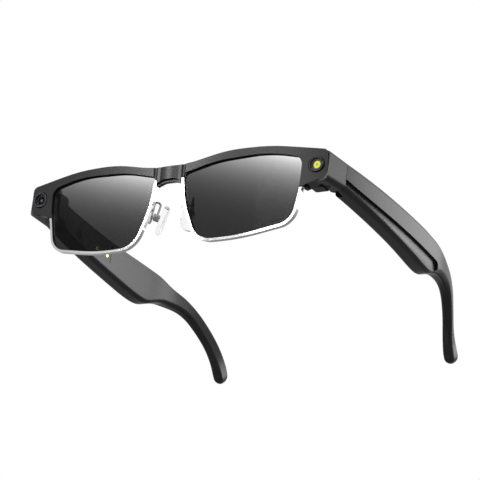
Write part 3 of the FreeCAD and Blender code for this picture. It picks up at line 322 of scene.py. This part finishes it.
def coated_glass(finish):
    """Camera element: near black, with a painted purple glint near its middle that also glows, and
    a painted green reflection round its edge.
    """
    sheet = Sheet("coated_glass")
    across, up = sheet.offsets("camera_glass")
    # Painted reflection: a purple glint a little to one side of the middle, with a green ring round
    # it.
    beside = across + 0.3 * MM
    painted_glint = sheet.ramp(sheet.length(beside, up), 0.9 * MM, 0.2 * MM)
    painted_green_ring = sheet.ramp(sheet.length(across, up), 0.9 * MM, 1.4 * MM)
    haze = sheet.noise(2400.0, 2.0)
    dark = sheet.blend(painted_green_ring, (0.012, 0.006, 0.02), (0.004, 0.016, 0.012))
    purple = tuple(finish.painted_glint_color)
    return sheet.finish(
        Base_Color=sheet.blend(painted_glint * sheet.ramp(haze, 0.2, 0.6), dark, purple),
        # Painted glow: the glint glows though the glass is no lamp.
        Emission_Color=sheet.blend(painted_glint, (0, 0, 0), scaled(purple, 0.5)),
        Emission_Strength=0.35,
        Roughness=sheet.ramp(haze, 0.4, 0.8, 0.04, 0.1),
        Specular_IOR_Level=0.2,
        Coat_Weight=0.1,
        Coat_Roughness=0.03,
    )


def phosphor(finish):
    """Yellow emitter: a bright disc with a faint painted glow, darker in its middle and grainy all
    over.
    """
    sheet = Sheet("phosphor_yellow")
    reach = sheet.length(*sheet.offsets("light_emitter"))
    grain = sheet.noise(5000.0, 2.0)
    core = sheet.ramp(reach + (grain - 0.5) * (0.4 * MM), 0.4 * MM, 0.75 * MM)
    base = tuple(finish.emitter_color)
    color = sheet.blend(core, scaled(base, 0.62), base)
    return sheet.finish(
        Base_Color=color,
        # Painted glow: the phosphor glows faintly in its own yellow.
        Emission_Color=color,
        Emission_Strength=0.35,
        Roughness=sheet.ramp(grain, 0.3, 0.7, 0.35, 0.5),
        Normal=sheet.bump(grain, 0.3, 0.05 * MM),
    )


def bright_cup(finish):
    """Reflector: yellow inside with a painted yellow glow, black on its outer rim."""
    sheet = Sheet("bright_cup")
    streak = sheet.noise(3000.0, 2.0)
    reach = sheet.length(*sheet.offsets("light_reflector")) + (streak - 0.5) * (0.06 * MM)
    rim = sheet.ramp(reach, 1.5 * MM, 1.6 * MM)
    base = tuple(finish.emitter_color)
    return sheet.finish(
        Base_Color=sheet.blend(rim, base, (0.01, 0.01, 0.01)),
        # Painted glow: the yellow inside of the reflector glows, though the reflector is no lamp.
        Emission_Color=sheet.blend(rim, base, (0.0, 0.0, 0.0)),
        Emission_Strength=0.3,
        Metallic=0.2,
        Roughness=sheet.ramp(streak, 0.3, 0.7, 0.2, 0.34),
    )


def throat_black():
    """Matt black of the stepped rings inside the camera."""
    sheet = Sheet("throat_black")
    grit = sheet.noise(5200.0, 2.0)
    return sheet.finish(
        Base_Color=sheet.blend(grit, (0.002, 0.002, 0.003), (0.005, 0.005, 0.006)),
        Roughness=sheet.ramp(grit, 0.3, 0.7, 0.7, 0.85),
        Specular_IOR_Level=0.05,
    )


def clear_silicone():
    """Soft clear pad with a smooth skin."""
    sheet = Sheet("clear_silicone")
    skin = sheet.noise(1900.0, 3.0)
    cloud = sheet.noise(260.0, 2.0)
    return sheet.finish(
        Base_Color=sheet.blend(cloud, (0.90, 0.91, 0.91), (0.96, 0.96, 0.96)),
        Transmission_Weight=1.0,
        IOR=1.28,
        Roughness=sheet.ramp(skin, 0.3, 0.7, 0.01, 0.04),
    )


def circuit_green():
    """Solder mask with tracks and spots of bare copper."""
    sheet = Sheet("circuit_green")
    spots = sheet.node(
        "ShaderNodeTexVoronoi", {"distance": "MANHATTAN", "feature": "F1"},
        {"Vector": sheet.stretched((1.0, 1500.0, 1500.0)), "Scale": 1.0}, "Distance")
    copper = sheet.ramp(spots, 0.16, 0.12)
    band = sheet.math("PINGPONG", sheet.part("Y") * TRACKS_PER_METRE, 1.0)
    track = sheet.ramp(band, 0.42, 0.5)
    mask = sheet.blend(track, (0.012, 0.075, 0.035), (0.02, 0.12, 0.055))
    return sheet.finish(
        Base_Color=sheet.blend(copper, mask, (0.62, 0.5, 0.25)),
        Roughness=sheet.ramp(copper, 0.0, 1.0, 0.3, 0.42),
        Normal=sheet.bump(track + copper, 0.3, 0.03 * MM),
    )


def foil_wrap():
    """Battery pouch: crinkled foil with a tape band at its front end."""
    sheet = Sheet("foil_wrap")
    crease = sheet.noise(420.0, 5.0)
    fold = sheet.noise(1.0, 2.0, sheet.stretched((200.0, 90.0, 500.0)))
    tape_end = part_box("battery_left")[0].y + TAPE_WIDTH
    tape = sheet.ramp(sheet.part("Y"), tape_end, tape_end - 0.5 * MM)
    return sheet.finish(
        Base_Color=sheet.blend(tape, (0.62, 0.62, 0.64), (0.75, 0.5, 0.08)),
        Metallic=sheet.ramp(tape, 0.0, 1.0, 1.0, 0.0, "LINEAR"),
        Roughness=sheet.ramp(crease, 0.3, 0.7, 0.28, 0.42),
        Normal=sheet.bump(crease * 0.4 + fold * 0.6, 0.35, 0.1 * MM),
    )


def plated_gold():
    """Gold of the charging pins, rubbed paler in places."""
    sheet = Sheet("plated_gold")
    rub = sheet.noise(2600.0, 4.0)
    pale = sheet.ramp(rub, 0.45, 0.8)
    return sheet.finish(
        Base_Color=sheet.blend(pale, (0.93, 0.72, 0.28), (0.85, 0.7, 0.42)),
        Metallic=1.0,
        Roughness=sheet.ramp(rub, 0.3, 0.7, 0.16, 0.3),
    )


def nickel():
    """Nickel plating of the charging magnet."""
    sheet = Sheet("nickel")
    rub = sheet.noise(1400.0, 4.0)
    return sheet.finish(
        Base_Color=sheet.blend(rub, (0.5, 0.49, 0.46), (0.62, 0.61, 0.59)),
        Metallic=1.0,
        Roughness=sheet.ramp(rub, 0.3, 0.7, 0.2, 0.34),
    )


def woven_mesh():
    """Fine acoustic cloth over the speaker."""
    sheet = Sheet("acoustic_cloth")
    warp = sheet.math("SINE", sheet.part("Y") * (2 * math.pi / CLOTH_PITCH))
    weft = sheet.math("SINE", sheet.part("Z") * (2 * math.pi / CLOTH_PITCH))
    weave = warp * weft
    shade = sheet.ramp(weave, -1.0, 1.0)
    return sheet.finish(
        Base_Color=sheet.blend(shade, (0.012, 0.012, 0.013), (0.05, 0.05, 0.052)),
        Roughness=0.85,
        Sheen_Weight=0.3,
        Normal=sheet.bump(weave, 0.7, 0.05 * MM),
    )


# ---- Sizes and colours that a user would change ----------------------------------------------
class GlassesFinish(bpy.types.PropertyGroup):
    shell_color: FloatVectorProperty(
        name="Shell", description="Colour of the moulded front and temples", subtype="COLOR",
        size=3, min=0.0, max=1.0, default=(0.014, 0.014, 0.015))
    shell_roughness: FloatProperty(
        name="Shell Roughness", description="Mean roughness of the moulded parts", subtype="FACTOR",
        min=0.1, max=0.9, default=0.25)
    lens_color: FloatVectorProperty(
        name="Lens", description="Body colour of the tinted lenses", subtype="COLOR",
        size=3, min=0.0, max=1.0, default=(0.012, 0.012, 0.013))
    # Painted reflection: how clear the top of a lens turns.
    lens_clear_high: FloatProperty(
        name="Clear at Brow", description="Share of light that passes at the top of a lens",
        subtype="FACTOR", min=0.0, max=1.0, default=0.8)
    lens_clear_low: FloatProperty(
        name="Clear Below", description="Share of light that passes in the lower half of a lens",
        subtype="FACTOR", min=0.0, max=1.0, default=0.022)
    lens_fade: FloatProperty(
        name="Fade Length", description="Height over which the tint deepens",
        subtype="DISTANCE", unit="LENGTH", min=0.001, default=0.0070)
    # Painted light: how much both lenses clear towards the wearer's left.
    lens_slant: FloatProperty(
        name="Fade Slant", description="How much the tint also deepens towards the wearer's right",
        min=0.0, max=1.0, default=0.3)
    silver_color: FloatVectorProperty(
        name="Silver", description="Colour of the plated rims", subtype="COLOR",
        size=3, min=0.0, max=1.0, default=(0.93, 0.93, 0.94))
    # Colour of the painted purple glint and glow in the camera's glass.
    painted_glint_color: FloatVectorProperty(
        name="Lens Bloom", description="Coating colour in the camera", subtype="COLOR",
        size=3, min=0.0, max=1.0, default=(0.62, 0.18, 0.62))
    emitter_color: FloatVectorProperty(
        name="Emitter", description="Colour of the light's phosphor", subtype="COLOR",
        size=3, min=0.0, max=1.0, default=(0.90, 0.88, 0.09))


class GlassesFittings(bpy.types.PropertyGroup):
    slot_width: FloatProperty(
        name="Slot Width", description="Driver slot as a share of the screw head's radius",
        subtype="FACTOR", min=0.1, max=0.6, default=0.3)
    baffle_depth: FloatProperty(
        name="Baffle Depth", description="Depth of the stepped rings in the camera's throat",
        subtype="DISTANCE", unit="LENGTH", min=0.0005, max=0.003, default=0.0009)


class GlassesStage(bpy.types.PropertyGroup):
    view_turn: FloatProperty(
        name="View Turn", description="Camera's angle round the glasses from straight ahead",
        subtype="ANGLE", unit="ROTATION", default=math.radians(32.33))
    view_lift: FloatProperty(
        name="View Lift", description="Camera's angle above the level of the glasses",
        subtype="ANGLE", unit="ROTATION", default=math.radians(-22.81))
    view_roll: FloatProperty(
        name="View Roll", description="Camera's roll about its own axis",
        subtype="ANGLE", unit="ROTATION", default=math.radians(7.07))
    view_reach: FloatProperty(
        name="View Distance", description="Distance from the camera to the point it looks at",
        subtype="DISTANCE", unit="LENGTH", min=0.1, default=1.10664)
    view_lens: FloatProperty(
        name="Focal Length", description="Camera's focal length in millimetres",
        min=20.0, default=201.47)
    view_aim: FloatVectorProperty(
        name="View Aim", description="Point that the camera looks at", subtype="XYZ", unit="LENGTH",
        size=3, default=(0.022329, -0.051886, 0.009632))
    floor_color: FloatVectorProperty(
        name="Floor", description="Colour of the pale floor", subtype="COLOR",
        size=3, min=0.0, max=1.0, default=(0.86, 0.86, 0.86))
    key_power: FloatProperty(
        name="Side Light", description="Strength of the long light beside the left temple",
        min=0.0, default=2.0)
    front_power: FloatProperty(
        name="Front Light", description="Strength of the soft light before the lenses",
        min=0.0, default=2.6)


# ---- Mesh helpers ----------------------------------------------------------------------------
def linked(name, data):
    """New object for a light, camera or mesh, put in the scene."""
    made = bpy.data.objects.new(name, data)
    bpy.context.scene.collection.objects.link(made)
    return made


def meshed(name, shape, material):
    """New object from a bmesh, which is used up."""
    mesh = bpy.data.meshes.new(name)
    shape.to_mesh(mesh)
    shape.free()
    mesh.materials.append(material)
    return linked(name, mesh)


def as_piece(name, shape, body, material, smooth=True):
    """Turns a bmesh into an object that rides on a body."""
    piece = meshed(name, shape, material)
    if smooth:
        piece.data.shade_smooth()
        piece.data.set_sharp_from_angle(angle=SHARP_ANGLE)
    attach(piece, body)


def turned(profile, steps=48):
    """Solid of revolution about Z from a profile of (radius, height)."""
    shape = bmesh.new()
    corners = [shape.verts.new((radius, 0, height)) for radius, height in profile]
    edges = [shape.edges.new(pair) for pair in zip(corners, corners[1:])]
    bmesh.ops.spin(shape, geom=corners + edges, cent=(0, 0, 0), axis=(0, 0, 1), dvec=(0, 0, 0),
                   angle=2 * math.pi, steps=steps, use_merge=True, use_duplicate=False)
    bmesh.ops.remove_doubles(shape, verts=shape.verts, dist=1e-7)
    bmesh.ops.recalc_face_normals(shape, faces=shape.faces)
    return shape


def turned_to(direction):
    """Rotation that takes +Z to a direction."""
    turn = Vector((0, 0, 1)).rotation_difference(Vector(direction).normalized())
    return turn.to_matrix().to_4x4()


def placed(shape, at, direction=(0, 0, 1)):
    matrix = Matrix.Translation(at) @ turned_to(direction)
    bmesh.ops.transform(shape, matrix=matrix, verts=shape.verts)
    return shape


def shade_cross(radius, thick, slot):
    """Dark cross that sits in the top of a screw head, as painted shade of its cross recess."""
    shape = bmesh.new()
    for turn in (0, 90):
        bar = bmesh.ops.create_cube(shape, size=1.0)
        spin = Matrix.Rotation(math.radians(turn), 4, "Z")
        size = Matrix.Diagonal((radius * 1.25, radius * slot, thick * 0.5, 1.0))
        lift = Matrix.Translation((0, 0, thick * 0.77))
        bmesh.ops.transform(shape, matrix=spin @ lift @ size, verts=bar["verts"])
    bmesh.ops.bevel(shape, geom=shape.edges[:], offset=radius * 0.05, segments=1, profile=0.5,
                    affect="EDGES", material=-1)
    return shape


def join(shapes):
    """One bmesh from several."""
    whole = bmesh.new()
    for shape in shapes:
        spare = bpy.data.meshes.new("spare")
        shape.to_mesh(spare)
        shape.free()
        whole.from_mesh(spare)
        bpy.data.meshes.remove(spare)
    return whole


def paint(node, material):
    """Gives a CAD node one material."""
    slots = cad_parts[node].data.materials
    slots.clear()
    slots.append(material)


# ---- Operators -------------------------------------------------------------------------------
class GLASSES_OT_mouldings(bpy.types.Operator):
    """Gives the front, covers, temples and buttons their moulded finish"""

    bl_idname = "glasses.mouldings"
    bl_label = "Mouldings"

    def execute(self, context):
        finish = context.scene.glasses_finish
        shell = moulded_black(finish)
        soft = moulded_black(finish, "moulded_button", finish.shell_roughness - 0.06, 0.4)
        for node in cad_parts:
            if node.startswith(("front_frame", "endpiece_cover", "temple_shell", "temple_panel")):
                paint(node, shell)
            if node.endswith("_button"):
                paint(node, soft)
        return {"FINISHED"}


class GLASSES_OT_lenses(bpy.types.Operator):
    """Gives the two lenses their gradient tint"""

    bl_idname = "glasses.lenses"
    bl_label = "Lenses"

    def execute(self, context):
        for side in SIDES:
            node = "lens_" + side
            paint(node, tinted_lens_with_painted_light(context.scene.glasses_finish, node))
        return {"FINISHED"}


class GLASSES_OT_metalwork(bpy.types.Operator):
    """Gives rims, nose arms, hinges and the bridge bar their metals"""

    bl_idname = "glasses.metalwork"
    bl_label = "Metalwork"

    def execute(self, context):
        silver = polished_silver(context.scene.glasses_finish)
        steel = dark_steel()
        chrome = chromed_wire()
        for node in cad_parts:
            if node.startswith("rim_wire"):
                paint(node, silver)
            if node.startswith(("nose_arm", "pad_box", "pad_screws")):
                paint(node, chrome)
            if node.startswith(("hinge_", "bridge_bar", "cover_screws", "rim_screws")):
                paint(node, steel)
        return {"FINISHED"}


class GLASSES_OT_eyes(bpy.types.Operator):
    """Finishes the camera and the light, and adds the camera's rings and the emitter's dots"""

    bl_idname = "glasses.eyes"
    bl_label = "Camera and Light"

    def execute(self, context):
        finish = context.scene.glasses_finish
        for eye in ("light", "camera"):
            ring = turned_black(eye)
            paint(eye + "_bezel", ring)
            paint(eye + "_barrel", ring)
        paint("camera_window", eye_window("camera", (0.01, 0.008, 0.014), 0.1))
        paint("light_window", eye_window("light", (0.5, 0.5, 0.46), 0.04))
        paint("camera_glass", coated_glass(finish))
        paint("light_emitter", phosphor(finish))
        paint("light_reflector", bright_cup(finish))
        self.baffle(context.scene.glasses_fittings.baffle_depth)
        self.dots()
        return {"FINISHED"}

    def baffle(self, depth):
        """Stepped rings that narrow from the window to a domed element at their foot."""
        low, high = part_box("camera_window")
        behind = (high.y - low.y) / 2 + 0.1 * MM
        rear = middle("camera_window") - EYE_AXIS * behind
        wide, narrow, steps, lip = 1.85 * MM, 1.15 * MM, 5, 0.6
        profile = [(narrow, -depth)]
        for step in range(steps, 0, -1):
            radius = narrow + (wide - narrow) * (steps - step + lip) / (steps + lip)
            profile.append((radius, -depth * step / (steps + 1)))
            profile.append((radius, -depth * (step - 1) / (steps + 1)))
        profile.extend([(wide, 0.0), (wide, -depth), (narrow, -depth)])
        rings = placed(turned(profile), rear, EYE_AXIS)
        as_piece("camera_baffle", rings, "front", throat_black())

        crown, rise, foot, arcs = 0.35, 0.6, 0.95, 8
        dome = [(0.0, -depth * crown)]
        for step in range(1, arcs + 1):
            turn = math.radians(90 / arcs * step)
            radius = narrow * 0.96 * math.sin(turn)
            dome.append((radius, -depth * (foot - rise * math.cos(turn))))
        dome.append((0.0, -depth * foot))
        element = placed(turned(dome), rear, EYE_AXIS)
        glass = bpy.data.materials["coated_glass"]
        as_piece("camera_element", element, "front", glass)

    def dots(self):
        """Small domes in rings over the emitter's yellow disc."""
        centre = middle("light_emitter")
        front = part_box("light_emitter")[0].y
        foot = Vector((centre.x, front + 0.04 * MM, centre.z))
        domes = []
        for ring, count in DOT_RINGS:
            for index in range(count):
                turn = 2 * math.pi * index / count
                dome = bmesh.new()
                bmesh.ops.create_icosphere(dome, subdivisions=2, radius=DOT_RADIUS)
                away = Vector((ring * math.cos(turn), 0, ring * math.sin(turn)))
                domes.append(placed(dome, foot + away))
        # The dots share the phosphor's painted glow.
        yellow = bpy.data.materials["phosphor_yellow"]
        as_piece("emitter_dots", join(domes), "front", yellow)


class GLASSES_OT_screws(bpy.types.Operator):
    """Puts a dark cross on the head of each hinge screw, as painted shade of its cross recess"""

    bl_idname = "glasses.screws"
    bl_label = "Screw Heads"

    def execute(self, context):
        slot = context.scene.glasses_fittings.slot_width
        for side in SIDES:
            self.hinge_end(side, slot)
        return {"FINISHED"}

    def hinge_end(self, side, slot):
        """Dark cross in the hinge screw's head, under the lower knuckle, as painted shade of its
        cross recess.
        """
        node = "hinge_screw_" + side
        at = middle(node)
        at.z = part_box(node)[0].z + 0.22 * MM
        # Painted shade: a black cross stands in for the shade inside the screw's cross recess.
        shade_cross_piece = placed(shade_cross(1.0 * MM, 0.3 * MM, slot), at, (0, 0, -1))
        black = bpy.data.materials["camera_ring"]
        as_piece("hinge_end_" + side, shade_cross_piece, "front", black, smooth=False)


class GLASSES_OT_pads(bpy.types.Operator):
    """Gives the nose pads their clear silicone"""

    bl_idname = "glasses.pads"
    bl_label = "Nose Pads"

    def execute(self, context):
        skin = clear_silicone()
        for side in SIDES:
            paint("nose_pad_" + side, skin)
        return {"FINISHED"}


class GLASSES_OT_electronics(bpy.types.Operator):
    """Finishes boards, batteries, speakers, contacts and switches"""

    bl_idname = "glasses.electronics"
    bl_label = "Electronics"

    def execute(self, context):
        board = circuit_green()
        foil = foil_wrap()
        cloth = woven_mesh()
        plain = moulded_black(context.scene.glasses_finish, "moulded_inner", 0.5, 1.4)
        for node in ("light_board", "camera_board", "main_board", "light_driver"):
            paint(node, board)
        paint("charging_contacts", plated_gold())
        paint("charging_magnet", nickel())
        for side in SIDES:
            paint("battery_" + side, foil)
            paint("speaker_" + side, cloth)
            paint("speaker_grille_" + side, plain)
            paint("button_switch_" + side, plain)
        return {"FINISHED"}


class GLASSES_OT_stage(bpy.types.Operator):
    """Sets up the floor, backdrop, lights and camera"""

    bl_idname = "glasses.stage"
    bl_label = "Stage"

    def execute(self, context):
        stage = context.scene.glasses_stage
        self.world(context.scene)
        self.floor(stage)
        self.backdrop()
        self.lights(stage)
        self.camera(context.scene, stage)
        context.scene.view_settings.view_transform = "Standard"
        return {"FINISHED"}

    def world(self, scene):
        """Soft studio light from above, dim from below."""
        sheet = Sheet("studio", "worlds", "Generated")
        height = sheet.part("Z") * 0.5 + 0.5
        shades = {"stops": ((0.38, 0.32), (0.78, 0.95))}
        sky = sheet.node("ShaderNodeValToRGB", shades, {0: height})
        glow = sheet.node("ShaderNodeBackground", (), {"Color": sky, "Strength": 0.8})
        scene.world = sheet.surface(glow, "ShaderNodeOutputWorld")

    def floor(self, stage):
        """Pale floor under the glasses, which only its upper side shows."""
        shape = bmesh.new()
        bmesh.ops.create_circle(shape, cap_ends=True, radius=FLOOR_RADIUS, segments=96)
        bmesh.ops.translate(shape, verts=shape.verts, vec=(0, 0, -FLOOR_GAP))
        sheet = Sheet("pale_floor")
        tone = tuple(stage.floor_color)
        mottled = sheet.blend(sheet.noise(3.0, 2.0), tone, scaled(tone, 0.985))
        top = sheet.node("ShaderNodeBsdfDiffuse", (), {"Color": mottled})
        clear = sheet.node("ShaderNodeBsdfTransparent")
        under = sheet.node("ShaderNodeNewGeometry", (), (), "Backfacing")
        mixed = sheet.node("ShaderNodeMixShader", (), {0: under, 1: top, 2: clear})
        floor = meshed("floor", shape, sheet.surface(mixed))
        floor.visible_glossy = False
        floor.visible_diffuse = False

    def backdrop(self):
        """White dome that is seen but lights nothing."""
        shape = bmesh.new()
        bmesh.ops.create_icosphere(shape, subdivisions=4, radius=DOME_RADIUS)
        bmesh.ops.reverse_faces(shape, faces=shape.faces)
        sheet = Sheet("white_dome")
        glow = sheet.node("ShaderNodeEmission", (), {"Color": (1, 1, 1), "Strength": 1.0})
        dome = meshed("backdrop", shape, sheet.surface(glow))
        dome.visible_diffuse = False
        dome.visible_glossy = False
        dome.visible_shadow = False

    def lights(self, stage):
        """Soft boxes beside and behind, in front, below and overhead."""
        centre = Vector((0, 0, 0.02))
        front = stage.front_power
        # Name, direction, distance, width, height, power.
        boxes = (
            ("side_box", (0.50, 0.78, 0.42), 1.1, 0.55, 0.5, stage.key_power),
            ("front_box", (-0.49, -0.83, 0.27), 1.2, 0.12, 0.6, front),
            ("light_end_box", (-0.25, -0.93, 0.27), 1.2, 0.1, 0.6, front * 0.35),
            ("low_box", (-0.10, -0.60, -0.80), 1.2, 1.0, 0.12, front * 0.12),
            ("top_box", (0.0, -0.1, 1.0), 1.2, 0.9, 0.5, 1.0),
        )
        for name, direction, reach, wide, tall, power in boxes:
            light = bpy.data.lights.new(name, "AREA")
            light.shape = "RECTANGLE"
            light.size = wide
            light.size_y = tall
            light.energy = power
            way = Vector(direction).normalized()
            turn = way.to_track_quat("Z", "Y").to_matrix().to_4x4()
            linked(name, light).matrix_world = Matrix.Translation(centre + way * reach) @ turn

    def camera(self, scene, stage):
        """View of the front and the left temple from below eye level."""
        turn, lift = stage.view_turn, stage.view_lift
        level = math.cos(lift)
        back = Vector((math.sin(turn) * level, -math.cos(turn) * level, math.sin(lift)))
        right = Vector((0, 0, 1)).cross(back).normalized()
        up = back.cross(right)
        roll = Matrix.Rotation(stage.view_roll, 3, "Z")
        axes = Matrix((right, up, back)).transposed() @ roll
        data = bpy.data.cameras.new("view")
        data.lens = stage.view_lens
        data.sensor_width = SENSOR_WIDTH
        data.clip_end = VIEW_END
        camera = linked("view", data)
        at = Vector(stage.view_aim) + back * stage.view_reach
        camera.matrix_world = Matrix.Translation(at) @ axes.to_4x4()
        scene.camera = camera


class GLASSES_PT_panel(bpy.types.Panel):
    """Sidebar panel that lists the steps and their settings"""

    bl_label = "Smart Glasses"
    bl_idname = "GLASSES_PT_panel"
    bl_space_type = "VIEW_3D"
    bl_region_type = "UI"
    bl_category = "Glasses"

    def draw(self, context):
        layout = self.layout
        for name in OPERATORS:
            layout.operator(name)
        for group in ("glasses_finish", "glasses_fittings", "glasses_stage"):
            settings = getattr(context.scene, group)
            column = layout.column(align=True)
            for key in settings.__annotations__:
                column.prop(settings, key)


GROUPS = (
    ("glasses_finish", GlassesFinish),
    ("glasses_fittings", GlassesFittings),
    ("glasses_stage", GlassesStage),
)
CLASSES = (
    GLASSES_OT_stage,
    GLASSES_OT_mouldings,
    GLASSES_OT_lenses,
    GLASSES_OT_metalwork,
    GLASSES_OT_eyes,
    GLASSES_OT_screws,
    GLASSES_OT_pads,
    GLASSES_OT_electronics,
)
OPERATORS = tuple(made.bl_idname for made in CLASSES)


def register():
    for name, group in GROUPS:
        bpy.utils.register_class(group)
        setattr(bpy.types.Scene, name, PointerProperty(type=group))
    for made in CLASSES + (GLASSES_PT_panel,):
        bpy.utils.register_class(made)


def unregister():
    for made in reversed(CLASSES + (GLASSES_PT_panel,)):
        bpy.utils.unregister_class(made)
    for name, group in reversed(GROUPS):
        delattr(bpy.types.Scene, name)
        bpy.utils.unregister_class(group)


def main():
    register()
    for name in OPERATORS:
        family, action = name.split(".")
        getattr(getattr(bpy.ops, family), action)()


if __name__ == "__main__":
    main()
